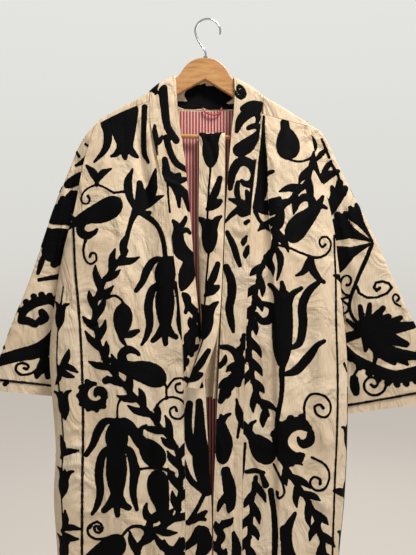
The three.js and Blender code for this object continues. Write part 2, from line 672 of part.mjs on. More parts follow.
function sleevePanel(side) {
  const lines = { upper: asRows(side.sleeve.upper), under: asRows(side.sleeve.under) };
  const half = Array.from({ length: RING_HALF + 1 }, (_, k) => k / RING_HALF);
  const frontFirst = half.map((f) => [f, -1]);
  const backAfter = half.slice(1, -1).reverse().map((f) => [f, 1]);
  let ring = [...frontFirst, ...backAfter];
  if (side.way < 0) ring = ring.reverse();
  const grid = SLEEVE_STATIONS.map((t) =>
    ring.map(([f, face]) => {
      const p = sleevePoint(side, lines, t, f, face);
      const off = armholePoint(side, f, face).sub(sleevePoint(side, lines, 0, f, face));
      return p.addScaledVector(off, max(0, 1 - t / 0.3) ** 2);
    }),
  );
  return clothWall(grid, CLOTH, { round: true });
}

// ---- Belt ----
function beltStrip() {
  const hidden = measured(BELT_BACK_TAIL);
  const shown = measured(BELT_FRONT_TAIL);
  const stations = [];
  const columns = ["x", "y", "z", "twist", "curl"];
  const read = (rows, at) => Object.fromEntries(columns.map((c) => [c, look(rows, "at", at, c)]));
  const TAIL_STEPS = 18;
  for (let k = 0; k <= TAIL_STEPS; k++) stations.push(read(hidden, k / TAIL_STEPS));
  const reach = BELT_BACK_TAIL.at(-1).y;
  const barZ = BAR_Z - TILT * (BELT_BACK_TAIL.at(-1).x - BAR_Z * TILT);
  for (const turn of [0, 30, 60, 90, 120, 150, 180]) {
    const a = THREE.MathUtils.degToRad(turn);
    stations.push({ x: BELT_FRONT_TAIL[0].x, y: reach * cos(a), z: barZ + reach * sin(a), twist: 0, curl: 0 });
  }
  for (let k = 0; k <= TAIL_STEPS; k++) stations.push(read(shown, k / TAIL_STEPS));
  const CELLS = 6;
  const middle = stations.map((s) => new THREE.Vector3(s.x, s.y, s.z));
  const grid = stations.map((s, j) => {
    const along = middle[min(j + 1, middle.length - 1)].clone().sub(middle[max(j - 1, 0)]).normalize();
    const twist = THREE.MathUtils.degToRad(s.twist);
    const out = new THREE.Vector3(1, 0, 0).cross(along).normalize();
    const turned = j > TAIL_STEPS ? -sin(twist) : sin(twist);
    const width = new THREE.Vector3(cos(twist), 0, 0).addScaledVector(out, turned);
    const face = along.clone().cross(width).normalize();
    const curl = max(THREE.MathUtils.degToRad(s.curl), 1e-3);
    const radius = BELT_WIDTH / curl;
    const row = [];
    for (let i = 0; i <= CELLS; i++) {
      const angle = curl * (i / CELLS - 0.5);
      const p = middle[j].clone().addScaledVector(width, radius * sin(angle));
      row.push(p.addScaledVector(face, radius * (cos(angle) - cos(curl / 2) * 0.5 - 0.5) + BELT / 2));
    }
    return row;
  });
  return clothWall(grid, BELT);
}

// ---- Hanging loop, sewn in under the band at the back of the neck ----
function loopCord() {
  const path = new THREE.CatmullRomCurve3([
    new THREE.Vector3(-11, 8, -183),
    new THREE.Vector3(-9, 6.6, -189),
    new THREE.Vector3(0, 6.2, -195),
    new THREE.Vector3(13, 6.2, -198),
    new THREE.Vector3(24, 6.3, -193),
    new THREE.Vector3(29, 7.4, -183),
  ]);
  return tube(path, LOOP_R, 24, 8);
}

function tube(path, radius, steps, sides) {
  const section = new THREE.Shape();
  for (let k = 0; k < sides; k++) {
    const a = (k / sides) * 2 * PI;
    if (k) section.lineTo(radius * cos(a), radius * sin(a));
    else section.moveTo(radius, 0);
  }
  return new THREE.ExtrudeGeometry(section, { steps, bevelEnabled: false, extrudePath: path });
}

// ---- Hanger ----
const armTopZ = (x) => -171.1 - ARM_SLOPE * (x - 136);
const armLowZ = (x) => -126 - 0.585 * x;

function yokeOutline() {
  const half = [
    [0, WOOD_TOP_Z], [11, WOOD_TOP_Z - 0.8], [21, WOOD_TOP_Z - 3.4], [30, WOOD_TOP_Z - 8],
    [38, WOOD_TOP_Z - 14.5], [45, WOOD_TOP_Z - 23], [51, WOOD_TOP_Z - 33], [57, WOOD_TOP_Z - 41], [66, armTopZ(66)],
    [ARM_HALF - 12, armTopZ(ARM_HALF - 12)], [ARM_HALF - 4, armTopZ(ARM_HALF - 12) - 7],
    [ARM_HALF, armTopZ(ARM_HALF - 12) - 17], [ARM_HALF, -244], [ARM_HALF - 3, -250], [ARM_HALF - 9, -252.5],
    [ARM_HALF - 16, -251], [ARM_HALF - 22, armLowZ(ARM_HALF - 22)], [0, armLowZ(0)],
  ];
  const mirrored = half.slice(1, -1).reverse().map(([x, z]) => [-x, z]);
  return new THREE.Shape([...half, ...mirrored].map(([x, z]) => new THREE.Vector2(x, z)));
}

function hangerGroup() {
  const group = new THREE.Group();
  group.rotation.y = TILT;
  const flat = new THREE.ExtrudeGeometry(yokeOutline(), {
    depth: WOOD - 2 * WOOD_EDGE, bevelThickness: WOOD_EDGE, bevelSize: WOOD_EDGE, bevelOffset: -WOOD_EDGE,
    bevelSegments: 2, curveSegments: 8,
  });
  flat.translate(0, 0, -(WOOD - 2 * WOOD_EDGE) / 2);
  flat.rotateX(PI / 2);
  flat.translate(SHANK_X, 0, 0);
  const across = (radius, length) => new THREE.CylinderGeometry(radius, radius, length, 20).rotateZ(PI / 2);
  const down = (radius, length) => new THREE.CylinderGeometry(radius, radius, length, 20).rotateX(PI / 2);
  const barSocket = across(BAR_R + BORE_GAP, 2 * (BAR_HALF + BORE_GAP)).translate(SHANK_X, 0, BAR_Z);
  const SHANK_DEEP = 22;
  const shankSocket = down(WIRE_R + BORE_GAP, SHANK_DEEP + 20).translate(
    SHANK_X, 0, WOOD_TOP_Z - (SHANK_DEEP + 20) / 2 + 20,
  );
  const yoke = solid(flat).subtract(solid(barSocket)).subtract(solid(shankSocket));
  group.add(piece("hanger_yoke", geometryOf(yoke), BEECH));
  group.add(piece("hanger_bar", across(BAR_R, 2 * BAR_HALF).translate(SHANK_X, 0, BAR_Z), BEECH));

  const centreZ = WIRE_R - HOOK_R;
  const points = [];
  for (let turn = -12; turn <= 190; turn += 12) {
    const a = THREE.MathUtils.degToRad(turn);
    points.push(new THREE.Vector3(HOOK_R * cos(a), 0, centreZ + HOOK_R * sin(a)));
  }
  points.push(
    new THREE.Vector3(-21, 0, -41), new THREE.Vector3(-10.5, 0, -57.5), new THREE.Vector3(-5, 0, -65.5),
    new THREE.Vector3(SHANK_X, 0, -71), new THREE.Vector3(SHANK_X, 0, -78),
    new THREE.Vector3(SHANK_X, 0, WOOD_TOP_Z - SHANK_DEEP + 1),
  );
  group.add(piece("hanger_hook", tube(new THREE.CatmullRomCurve3(points), WIRE_R, 64, 10), CHROME));

  const [inner, outer, low, high] = [WIRE_R + BORE_GAP, 5, WOOD_TOP_Z + 0.3, WOOD_TOP_Z + 4];
  const ring = [[inner, low], [outer, low], [outer, high - 1.5], [outer - 1.2, high], [inner, high], [inner, low]];
  const collar = new THREE.LatheGeometry(ring.map(([r, z]) => new THREE.Vector2(r, z)), 20);
  group.add(piece("hook_collar", collar.rotateX(PI / 2).translate(SHANK_X, 0, 0), CHROME));
  return group;
}

// ---- The whole ----
const coat = new THREE.Group();
coat.add(
  piece("front_right", frontPanel(SIDES.right), CREAM),
  piece("front_left", frontPanel(SIDES.left), CREAM),
  piece("back", backPanel(), CREAM),
  piece("sleeve_right", sleevePanel(SIDES.right), CREAM),
  piece("sleeve_left", sleevePanel(SIDES.left), CREAM),
  piece("band_right", bandPanel(SIDES.right), CREAM),
  piece("band_left", bandPanel(SIDES.left), CREAM),
  piece("lining", liningPanel(), STRIPED),
  piece("belt", beltStrip(), CREAM),
  piece("hang_loop", loopCord(), PINK),
  hangerGroup(),
);

export default coat;
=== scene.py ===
# %% [markdown]
# # A suzani coat on its clothes hanger
# A suzani coat is cut from cream cotton and covered with large flowers, buds and leafy vines in black
# couched thread. This one hangs open on a beech hanger, with its tie belt laid over the hanger's bar.
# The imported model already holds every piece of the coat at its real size. Here each piece of cloth
# becomes a fine shell on the same form, the needlework is laid on it as a raised mesh of its own, and
# the wood, wire and cord get their finishes.

import math

import bpy
import numpy as np
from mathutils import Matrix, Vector


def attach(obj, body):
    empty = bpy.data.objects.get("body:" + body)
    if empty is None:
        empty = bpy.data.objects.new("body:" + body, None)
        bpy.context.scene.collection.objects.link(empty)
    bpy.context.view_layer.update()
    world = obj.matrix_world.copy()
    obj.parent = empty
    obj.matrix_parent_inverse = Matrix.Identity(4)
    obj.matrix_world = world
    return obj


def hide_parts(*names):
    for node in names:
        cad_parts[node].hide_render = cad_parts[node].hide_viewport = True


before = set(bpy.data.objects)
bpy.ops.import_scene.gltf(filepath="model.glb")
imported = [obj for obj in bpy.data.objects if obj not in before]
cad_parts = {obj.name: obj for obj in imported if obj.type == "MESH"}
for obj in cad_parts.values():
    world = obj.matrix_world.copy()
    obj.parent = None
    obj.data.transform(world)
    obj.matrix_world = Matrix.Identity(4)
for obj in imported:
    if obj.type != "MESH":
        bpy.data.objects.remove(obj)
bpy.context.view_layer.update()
MM = 0.001
print("nodes:", ", ".join(sorted(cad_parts)))

# %% [markdown]
# ## The camera
# The coat is looked at straight on, from just over a metre away and a little below its underarms, so its
# hem is below the picture and its sleeves reach the picture's sides. The camera comes first, so that every
# piece can be judged from the same place.

# %% Camera
CAMERA_PLACE = (0.0, -1.250, -0.541)
CAMERA_LENS = 38.61
camera = bpy.data.objects.new("camera", bpy.data.cameras.new("camera"))
camera.location = CAMERA_PLACE
camera.rotation_euler = (math.radians(90), 0, 0)
camera.data.lens = CAMERA_LENS
bpy.context.scene.collection.objects.link(camera)
bpy.context.scene.camera = camera
print("camera", CAMERA_PLACE, "lens", CAMERA_LENS)

# %% [markdown]
# ## The pattern's tables
# A tailor writes down a coat as a few widths at a few heights. These tables say, in millimetres, where the
# band's two edges, the long fold and the side are at each height, how far the front and back stand out,
# and where the soft folds run. A smooth curve through the rows gives every height between them.

# %% Tables of the cut
CLOTH = 1.6
BAND = 2.4
LINING = 1.0
SEAM_GAP = 0.5
SHOULDER_GAP = 0.8
HEM_Z = -1260
UNDERARM_Z = -490
CHEST_Z = -300
SIDE_ROUND = 55
ARMHOLE_TURN = math.radians(75)
SHOULDER_HALF = 10.4
SHOULDER_RISE = 8
SHOULDER_SQUARE = 3
CENTRE_X = -5


def table(names, rows):
    return dict(zip(names.split(), np.array(rows, float).T))


RIGHT_FRONT = table("z free seam side", [
    (-180, -64, -121, -229), (-215, -60, -120, -233), (-300, -48, -104, -258), (-400, -38, -84, -278),
    (-500, -30, -70, -306), (-600, -21, -58, -322), (-700, -9, -51, -332), (-800, -4, -49, -326),
    (-900, 1, -47, -319), (-1000, 7, -46, -323), (-1130, 8, -46, -315), (-1260, 8, -46, -315),
])
LEFT_FRONT = table("z free seam fold side", [
    (-180, 55, 113, 125, 205), (-217, 51, 110, 124, 210), (-300, 44, 100, 123, 226), (-400, 37, 89, 124, 254),
    (-500, 33, 85, 131, 272), (-600, 28, 80, 138, 282), (-700, 24, 76, 143, 291), (-800, 19, 73, 144, 292),
    (-900, 15, 71, 145, 290), (-1000, 11, 70, 145, 285), (-1130, 11, 69, 145, 273), (-1260, 11, 68, 143, 269),
])
DEPTH = table("z front back", [
    (-180, 10.4, 10.6), (-230, 11.5, 12.2), (-300, 14, 15), (-400, 18, 20), (-500, 23, 25), (-600, 27, 28),
    (-800, 32, 33), (-1000, 36, 37), (-1260, 40, 42),
])
RIGHT_SHOULDER = table("x z drop", [
    (-122, -152.6, 20), (-141, -163.2, 17), (-175, -180.8, 13), (-211, -201.2, 10), (-233, -214.4, 9),
])
LEFT_SHOULDER = table("x z drop", [
    (115, -160.2, 40), (162, -188.2, 25), (195, -208.8, 13), (210, -216.4, 9),
])
# Soft folds: x at the top and at the hem, heights between which each shows, rise, and width to each side.
FRONT_FOLDS = [
    (-140, -72, -200, -760, -6, 26, 14), (-185, -150, -300, -1400, 5, 40, 34),
    (-250, -228, -480, -1400, -5, 24, 26), (-92, -96, -780, -1400, 6, 22, 20),
    (112, 96, -240, -1400, -4, 14, 14), (190, 206, -330, -1400, -4, 26, 28),
    (232, 242, -520, -1400, 4, 18, 16),
]
BACK_FOLDS = [
    (-120, -170, -330, -1400, 7, 30, 26), (-52, -74, -400, -1400, -6, 24, 26),
    (2, -8, -300, -1400, 7, 24, 26),
    (56, 70, -430, -1400, -6, 26, 24), (116, 150, -330, -1400, 7, 26, 30),
    (196, 206, -560, -1400, -4, 20, 20),
]
LONG_FOLD_RISE, LONG_FOLD_LEFT, LONG_FOLD_RIGHT = 11, 7, 62
LONG_FOLD_GROWS = (190, 300)  # below the rail
FOLD_FADE = 120
NAPE_RISE, NAPE_WIDTH = 2.6, 70
NAPE_FADES = (190, 330)
NECK_SETTLE = 14  # how soon the back leaves the neck's line
ROLL_Z, ROLL_REACH = -580, 190
RIGHT_COLLAR = [
    ((-63, -11.4, -190), (-120.4, -10.9, -190), 0.6), ((-65, -11.4, -156), (-120.9, -10.9, -174), 1.5),
    ((-66.5, -11.2, -130), (-121.9, -10.6, -160.2), 3), ((-67, -9, -120.2), (-122, -8.5, -153.4), 4),
    ((-67, 0, -118), (-122, 0, -151.6), 4), ((-66, 9, -118.5), (-122, 8.5, -153.4), 3.5),
    ((-63, 12.6, -118.5), (-121.4, 10.6, -160.2), 2), ((-55, 15.4, -119), (-114, 12.2, -173.5), 0.8),
    ((-38, 17.2, -120), (-90, 12.9, -182.5), 0), ((-22, 18, -121.5), (-48, 13.6, -185.5), 0),
    ((CENTRE_X, 18.4, -122), (CENTRE_X, 13.8, -186.5), 0),
]
LEFT_COLLAR = [
    ((54, -11.4, -190), (112.4, -10.9, -190), 0.6), ((55.5, -11.4, -158), (114.2, -10.9, -178), 1),
    ((55, -11.2, -133), (114.8, -10.6, -168), 2), ((54.2, -9, -123.2), (115, -8.5, -161.2), 3),
    ((53.4, 0, -121), (115, 0, -159.4), 3), ((52, 9, -120.8), (115, 8.5, -161.2), 2.4),
    ((48, 12.6, -120.2), (114.4, 10.6, -168), 1.4), ((40, 15.4, -119.8), (106, 12.2, -177.4), 0.6),
    ((26, 17.2, -120.5), (78, 12.9, -183.4), 0), ((10, 18, -121.5), (36, 13.6, -185.5), 0),
    ((CENTRE_X, 18.4, -122), (CENTRE_X, 13.8, -186.5), 0),
]
RIGHT_SLEEVE = {
    "upper": [
        (-229, 0, -217.4), (-240, 1, -225), (-252, 2, -238), (-269, 3, -263), (-286, 4, -300),
        (-305, 5, -347),
        (-326, 6, -399), (-342, 6.5, -447), (-357, 7, -491), (-386, 8, -571), (-420, 8, -655),
        (-462, 8, -777),
    ],
    "under": [
        (-297, 4, -484), (-299, 10, -500), (-305, 18, -530), (-309, 31, -572), (-302, 43, -624),
        (-282, 53, -702), (-257, 58, -806),
    ],
}
LEFT_SLEEVE = {
    "upper": [
        (207, 0, -219.6), (222, 1, -226), (237, 2, -236), (250, 2, -256), (275, 3, -307), (292, 3, -342),
        (309, 4, -376), (334, 4, -420), (359, 5, -473), (391, 5, -546), (437, 5, -643), (506, 5, -796),
    ],
    "under": [
        (262, 4, -484), (262, 10, -500), (265, 16, -530), (272, 25, -572), (277, 33, -628), (279, 38, -710),
        (280, 40, -837),
    ],
}
SIDES = {
    "right": {
        "way": -1, "front": RIGHT_FRONT, "shoulder": RIGHT_SHOULDER, "collar": RIGHT_COLLAR, "roll": 17,
        "sleeve": RIGHT_SLEEVE, "tip": -214.4,
    },
    "left": {
        "way": 1, "front": LEFT_FRONT, "shoulder": LEFT_SHOULDER, "collar": LEFT_COLLAR, "roll": 9,
        "sleeve": LEFT_SLEEVE, "tip": -216.4,
    },
}
print(len(RIGHT_FRONT["z"]), "heights given for each front")

# %% [markdown]
# A value between two rows comes from a smooth curve whose slope at each row is the slope between its
# neighbours. NumPy works it out for a whole panel of points at once, which is what makes fine cloth quick.


# %% Reading the tables
def mix(a, b, share):
    return a + (b - a) * share


def smooth(low, high, value):
    t = np.clip((value - low) / (high - low), 0, 1)
    return t * t * (3 - 2 * t)


def bell(apart, width):
    return np.exp(-((apart / width) ** 2))


def unit(vectors):
    return vectors / np.linalg.norm(vectors, axis=-1, keepdims=True)


def reach_along(points):
    """How far each point of a line is from its start, in millimetres."""
    return np.concatenate([[0], np.cumsum(np.linalg.norm(np.diff(points, axis=0), axis=1))])


def look(rows, key, value, column):
    keys, values = rows[key], rows[column]
    v = np.asarray(value, float)
    if keys[0] > keys[-1]:
        keys, v = -keys, -v
    v = np.clip(v, keys[0], keys[-1])
    last = len(keys) - 1
    k = np.clip(np.searchsorted(keys, v, side="right") - 1, 0, last - 1)
    low, high = np.maximum(k - 1, 0), np.minimum(k + 2, last)
    span = keys[k + 1] - keys[k]
    t = (v - keys[k]) / span
    slope_in = (values[k + 1] - values[low]) / (keys[k + 1] - keys[low]) * span
    slope_out = (values[high] - values[k]) / (keys[high] - keys[k]) * span
    return (
        (2 * t**3 - 3 * t**2 + 1) * values[k] + (t**3 - 2 * t**2 + t) * slope_in
        + (3 * t**2 - 2 * t**3) * values[k + 1] + (t**3 - t**2) * slope_out
    )


def line_through(points):
    """Points as a table, with each one's share of the length."""
    points = np.array(points, float)
    reach = reach_along(points)
    return {"at": reach / reach[-1], "x": points[:, 0], "y": points[:, 1], "z": points[:, 2]}


def point_on(line, at):
    return np.stack([look(line, "at", at, axis) for axis in "xyz"], axis=-1)


def folds_at(folds, x, z):
    total = 0
    for x0, x1, z0, z1, rise, left, right in folds:
        centre = mix(x0, x1, (z0 - z) / (z0 - HEM_Z))
        width = np.where(x < centre, left, right)
        show = smooth(-z0, -z0 + FOLD_FADE, -z) * (1 - smooth(-z1 - FOLD_FADE, -z1, -z))
        total = total + rise * show * bell(x - centre, width)
    return total


def front_depth(x, z):
    centre = look(LEFT_FRONT, "z", z, "fold")
    width = np.where(x < centre, LONG_FOLD_LEFT, LONG_FOLD_RIGHT)
    long_fold = LONG_FOLD_RISE * smooth(*LONG_FOLD_GROWS, -z) * bell(x - centre, width)
    return look(DEPTH, "z", z, "front") + folds_at(FRONT_FOLDS, x, z) + long_fold


def nape_rise(x, z):
    return NAPE_RISE * bell(x - CENTRE_X, NAPE_WIDTH) * (1 - smooth(*NAPE_FADES, -z))


def back_depth(x, z):
    return look(DEPTH, "z", z, "back") + nape_rise(x, z) + folds_at(BACK_FOLDS, x, z)


def side_point(side, share, z, face):
    """x and y on the turn of the side: share 0 is the side seam and 1 the flat front or back."""
    edge = look(side["front"], "z", z, "side")
    rise = np.clip((z - UNDERARM_Z) / (side["tip"] - UNDERARM_Z), 0, 1)
    start = ARMHOLE_TURN * np.sqrt(rise)
    turn = mix(start, math.pi / 2, share)
    x = edge - side["way"] * SIDE_ROUND * (np.cos(start) - np.cos(turn))
    depth = front_depth(x, z) if face < 0 else back_depth(x, z)
    return x, face * np.maximum(depth * np.sin(turn), SEAM_GAP / 2 * (rise == 0))


print("the front stands out", round(float(front_depth(-150.0, -800.0)), 1), "mm at the hip")

# %% [markdown]
# ## The panels as grids
# Each piece of cloth is a grid of points in space, fine enough to carry the needlework: about one point
# every two millimetres. Beside each point the grid keeps where that point lay when the cloth was still
# flat on the table, because that is where the embroiderer drew the flowers.

# %% Fronts
CELL = 2.2


def cells_for(length):
    """An even number of cells, so that the cloth itself can be made from every second point."""
    return 2 * max(1, round(abs(length) / CELL / 2))


def stacked(x, y, z):
    return np.stack(np.broadcast_arrays(x, y, z), axis=-1).astype(float)


def round_lengths(points, start, way):
    """How far each column is past the start column, measured over the cloth."""
    steps = np.linalg.norm(np.diff(points[:, start:], axis=1), axis=2)
    return way * np.concatenate([np.zeros((len(points), 1)), np.cumsum(steps, axis=1)], axis=1)


def front_place(side, place, z):
    seam = look(side["front"], "z", z, "seam") + side["way"] * SEAM_GAP
    flat_end = side_point(side, 1.0, z, -1)[0]
    x_flat = mix(seam, flat_end, np.minimum(place, 1))
    x_round, y_round = side_point(side, np.clip(2 - place, 0, 1), z, -1)
    x = np.where(place > 1, x_round, x_flat)
    y = np.where(place > 1, y_round, -front_depth(x_flat, z))
    return x, y


def front_top(side, place):
    top = np.full_like(place, side["tip"])
    for _ in range(6):
        x = front_place(side, place, top)[0]
        top = look(side["shoulder"], "x", x, "z") - look(side["shoulder"], "x", x, "drop") - SHOULDER_GAP
    return top


def heights_below(top, above=48):
    """Heights of every point: from each column's own top to the chest, and on down to the hem."""
    upper = mix(top[None, :], CHEST_Z, np.linspace(0, 1, above + 1)[:-1, None])
    lower = np.linspace(CHEST_Z, HEM_Z, cells_for(CHEST_Z - HEM_Z) + 1)[:, None]
    return np.concatenate([upper, np.broadcast_to(lower, (len(lower), len(top)))])


def front_grid(side, flat_cells=100, round_cells=28):
    place = np.concatenate([
        np.linspace(0, 1, flat_cells + 1), 1 + np.linspace(0, 1, round_cells + 1)[1:],
    ])
    z = heights_below(front_top(side, place))
    x, y = front_place(side, place[None, :], z)
    points = stacked(x, y, z)
    flat = np.stack([x, z], axis=-1)
    flat[:, flat_cells:, 0] = x[:, [flat_cells]] + round_lengths(points, flat_cells, side["way"])
    return points, flat


fronts = {name: front_grid(side) for name, side in SIDES.items()}
print("a front has", fronts["right"][0].shape[:2], "points")

# %% [markdown]
# The band is a strip from the hem to the back of the neck. The back is one piece: it comes over the
# shoulders to a seam just in front of them, and it is cut out round the neck, where the band is sewn on.


# %% Bands
def band_lines(side):
    """The band's free edge and seam from hem to neck, and how far its middle stands out."""
    top = front_top(side, np.array([0.0]))[0]
    levels = [
        mix(top, CHEST_Z, 1 / 3), mix(top, CHEST_Z, 2 / 3), -300, -350, -400, -440, -466, -481, -490,
        -525, -580, -640, -705, -775, -850, -930, -1010, -1095, -1180, -1260,
    ]
    rows = []
    for z in reversed(levels):
        free, seam = (float(look(side["front"], "z", z, column)) for column in ("free", "seam"))
        back = side["roll"] * math.exp(-(((z - ROLL_Z) / ROLL_REACH) ** 2))
        front_y = -float(look(DEPTH, "z", z, "front")) + back - 0.6
        rows.append(((free, front_y, z), (seam, -float(front_depth(seam, z)) - 0.5, z), 0.6))
    return rows + side["collar"], len(rows)


def band_grid(side, across_cells=24):
    rows, collar_start = band_lines(side)
    free, seam = (line_through([row[k] for row in rows]) for k in (0, 1))
    rank = np.arange(len(rows))
    middle_points = [np.add(row[0], row[1]) / 2 for row in rows]
    middle = line_through(middle_points)
    length = float(np.sum(np.linalg.norm(np.diff(middle_points, axis=0), axis=1)))
    at = np.linspace(0, 1, cells_for(length) + 1)
    place = np.interp(at, middle["at"], rank)
    free_points = point_on(free, np.interp(place, rank, free["at"]))
    seam_points = point_on(seam, np.interp(place, rank, seam["at"]))
    crown = np.interp(place, rank, [row[2] for row in rows])
    share = np.linspace(0, 1, across_cells + 1)[None, :, None]
    points = mix(free_points[:, None], seam_points[:, None], share)
    along = np.gradient(points, axis=0)
    across = side["way"] * (seam_points - free_points)[:, None]
    out = unit(np.cross(across, along))
    points = points + out * (crown[:, None] * np.sin(math.pi * share[..., 0]))[..., None]
    flat = points[..., [0, 2]].copy()
    past = np.maximum(0, at - np.interp(collar_start, rank, middle["at"])) * length
    join = np.searchsorted(place, collar_start)
    flat[join:, :, 0] = flat[join, :, 0]
    flat[join:, :, 1] = flat[join, :, 1] + past[join:, None]
    return points[::-1], flat[::-1]


bands = {name: band_grid(side) for name, side in SIDES.items()}
print("a band has", bands["right"][0].shape[:2], "points from the neck to the hem")


# %% Back
NECK_LEFT_X, NECK_RIGHT_X = 115 + SEAM_GAP, -122 - SEAM_GAP
WRAP_FRONT, WRAP_TOP = 8, 24  # rows down the front of the shoulder and over it
BACK_STOPS = [("left", 28), ("left", 52), ("neck", 104), ("right", 66), ("right", 28)]


def neck_curve():
    """Where the back is cut out round the neck: y and z by x, just below the band's seam."""
    curve = []
    for side in (SIDES["left"], SIDES["right"]):
        seam = line_through([row[1] for row in side["collar"][6:]])
        points = point_on(seam, np.linspace(0.04, 1, 24))
        along = np.gradient(points, axis=0)
        apart = np.stack([-along[:, 2], 0 * along[:, 0], along[:, 0]], axis=-1)
        apart *= SEAM_GAP * side["way"] / np.linalg.norm(apart, axis=1, keepdims=True)
        x = NECK_LEFT_X if side["way"] > 0 else NECK_RIGHT_X
        shoulder = [x, SHOULDER_HALF, float(look(side["shoulder"], "x", x, "z")) - SHOULDER_RISE]
        curve += [shoulder, *(points + apart)]
    curve = np.array(sorted(curve, key=lambda p: p[0]))
    return lambda x, axis: np.interp(x, curve[:, 0], curve[:, axis])


neck_at = neck_curve()


def back_place(place, z):
    left, right = SIDES["left"], SIDES["right"]
    x_left, y_left = side_point(left, np.clip(place, 0, 1), z, 1)
    x_right, y_right = side_point(right, np.clip(5 - place, 0, 1), z, 1)
    stops = [side_point(left, 1.0, z, 1)[0], NECK_LEFT_X, NECK_RIGHT_X, side_point(right, 1.0, z, 1)[0]]
    x = np.where(place < 2, mix(stops[0], stops[1], place - 1), mix(stops[1], stops[2], place - 2))
    x = np.where(place > 3, mix(stops[2], stops[3], place - 3), x)
    y = back_depth(x, z)
    x = np.where(place < 1, x_left, np.where(place > 4, x_right, x))
    y = np.where(place < 1, y_left, np.where(place > 4, y_right, y))
    return x, y


def wrap_point(side, x, turn):
    """The rounded top of the shoulder, turned from its front to its back."""
    power = 2 / SHOULDER_SQUARE
    y = SHOULDER_HALF * np.sign(np.sin(turn)) * np.abs(np.sin(turn)) ** power
    z = look(side["shoulder"], "x", x, "z") - SHOULDER_RISE * (1 - np.abs(np.cos(turn)) ** power)
    return y, z


def back_grid():
    parts = [np.linspace(k, k + 1, cells + 1)[1:] for k, (_, cells) in enumerate(BACK_STOPS)]
    place = np.concatenate([[0.0], *parts])
    on_neck = (place > 2) & (place < 3)
    is_left = place < 2.5
    tip = np.where(is_left, SIDES["left"]["tip"], SIDES["right"]["tip"])
    x_top = back_place(place, tip)[0]
    turns = np.radians(np.linspace(-90, 90, WRAP_TOP + 1))[:, None]
    wraps = {}
    for name, side in SIDES.items():
        y, z = np.broadcast_arrays(*wrap_point(side, x_top[None, :], turns))
        seam_z = look(side["shoulder"], "x", x_top, "z") - look(side["shoulder"], "x", x_top, "drop")
        share = np.linspace(0, 1, WRAP_FRONT + 1)[:-1, None]
        front_y = mix(-front_depth(x_top, seam_z)[None, :], y[:1], share)
        front_z = mix(seam_z[None, :], z[:1], share)
        wraps[name] = np.concatenate([front_y, y]), np.concatenate([front_z, z])
    wrap_y = np.where(is_left, wraps["left"][0], wraps["right"][0])
    wrap_z = np.where(is_left, wraps["left"][1], wraps["right"][1])
    start_y = np.where(on_neck, neck_at(x_top, 1), wrap_y[-1])
    start_z = np.where(on_neck, neck_at(x_top, 2), wrap_z[-1])
    z = heights_below(start_z, above=56)
    x, y = back_place(place[None, :], z)
    settle = np.exp(-(start_z[None, :] - z) / NECK_SETTLE)
    y = y + (start_y - back_place(place, start_z)[1])[None, :] * settle
    wrap = stacked(x_top[None, :], np.where(on_neck, start_y, wrap_y), np.where(on_neck, start_z, wrap_z))
    points = np.concatenate([wrap[:-1], stacked(x, y, z)])
    flat = points[..., [0, 2]].copy()
    rows_above = len(wrap) - 1
    over = np.cumsum(np.linalg.norm(np.diff(points[rows_above::-1], axis=0), axis=2), axis=0)[::-1]
    flat[:rows_above, :, 1] = start_z + over
    left_cells, right_cells = BACK_STOPS[0][1], BACK_STOPS[-1][1]
    turned = round_lengths(points[:, left_cells::-1], 0, 1)[:, ::-1]
    flat[:, : left_cells + 1, 0] = points[:, [left_cells], 0] + turned
    first_right = len(place) - 1 - right_cells
    flat[:, first_right:, 0] = points[:, [first_right], 0] + round_lengths(points, first_right, -1)
    has = np.ones((len(points) - 1, len(place) - 1), bool)
    has[:rows_above] = ~(on_neck[:-1] | on_neck[1:])
    return points, flat, has


back_points, back_flat, back_has = back_grid()
print("the back has", back_points.shape[:2], "points")

# %% [markdown]
# The lining hangs inside the back, flatter than the back's folds. A sleeve is a flat tube: a ring of points
# goes down its front from the upper fold to the underarm fold and back up behind.


# %% Lining and sleeves
LINING_CLEAR = 0.5
LINING_SLACK = 8.4
LINING_EDGE = 0.62
SLEEVE_TUCK = 3
SLEEVE_UNDER = CLOTH + 1.8
SLEEVE_FOLDS = [(0.62, 0.3, 0.1, 0.75, 3.4, 0.09), (0.4, 0.62, 0.45, 1.2, 2.6, 0.1)]
SLEEVE_HALF = (12, 13)


def lining_grid(columns=80, rows=130):
    place = np.linspace(LINING_EDGE, 5 - LINING_EDGE, columns + 1)
    tip = np.where(place < 2.5, SIDES["left"]["tip"], SIDES["right"]["tip"])
    x = back_place(place, tip)[0]
    ridge = np.where(
        place < 2.5, look(LEFT_SHOULDER, "x", x, "z"), look(RIGHT_SHOULDER, "x", x, "z"),
    )
    top = np.where((place > 2) & (place < 3), neck_at(x, 2) - 3, ridge - SHOULDER_RISE - 6)
    z = mix(top[None, :], HEM_Z + 18, np.linspace(0, 1, rows + 1)[:, None])
    x, y = back_place(place[None, :], z)
    slack = mix(0.7, LINING_SLACK, smooth(300, 440, -z))
    depth = look(DEPTH, "z", z, "back") + nape_rise(x, z) - CLOTH - LINING_CLEAR - slack
    y = y * depth / back_depth(x, z)
    return stacked(x, y, z), np.stack([x, z], axis=-1)


def armhole_point(side, share, face):
    top = side["tip"] - SLEEVE_UNDER
    z = mix(UNDERARM_Z + 16, top, share)
    edge = look(side["front"], "z", z, "side")
    half = np.maximum(np.abs(side_point(side, 0.0, z, 1)[1]) - SLEEVE_UNDER, 0)
    crest = np.maximum(0, (z - (top - SHOULDER_RISE)) / SHOULDER_RISE)
    closing = np.maximum(0, 1 - crest**SHOULDER_SQUARE) ** (1 / SHOULDER_SQUARE)
    return stacked(edge - side["way"] * SLEEVE_TUCK, face * half * closing * (share > 0) * (share < 1), z)


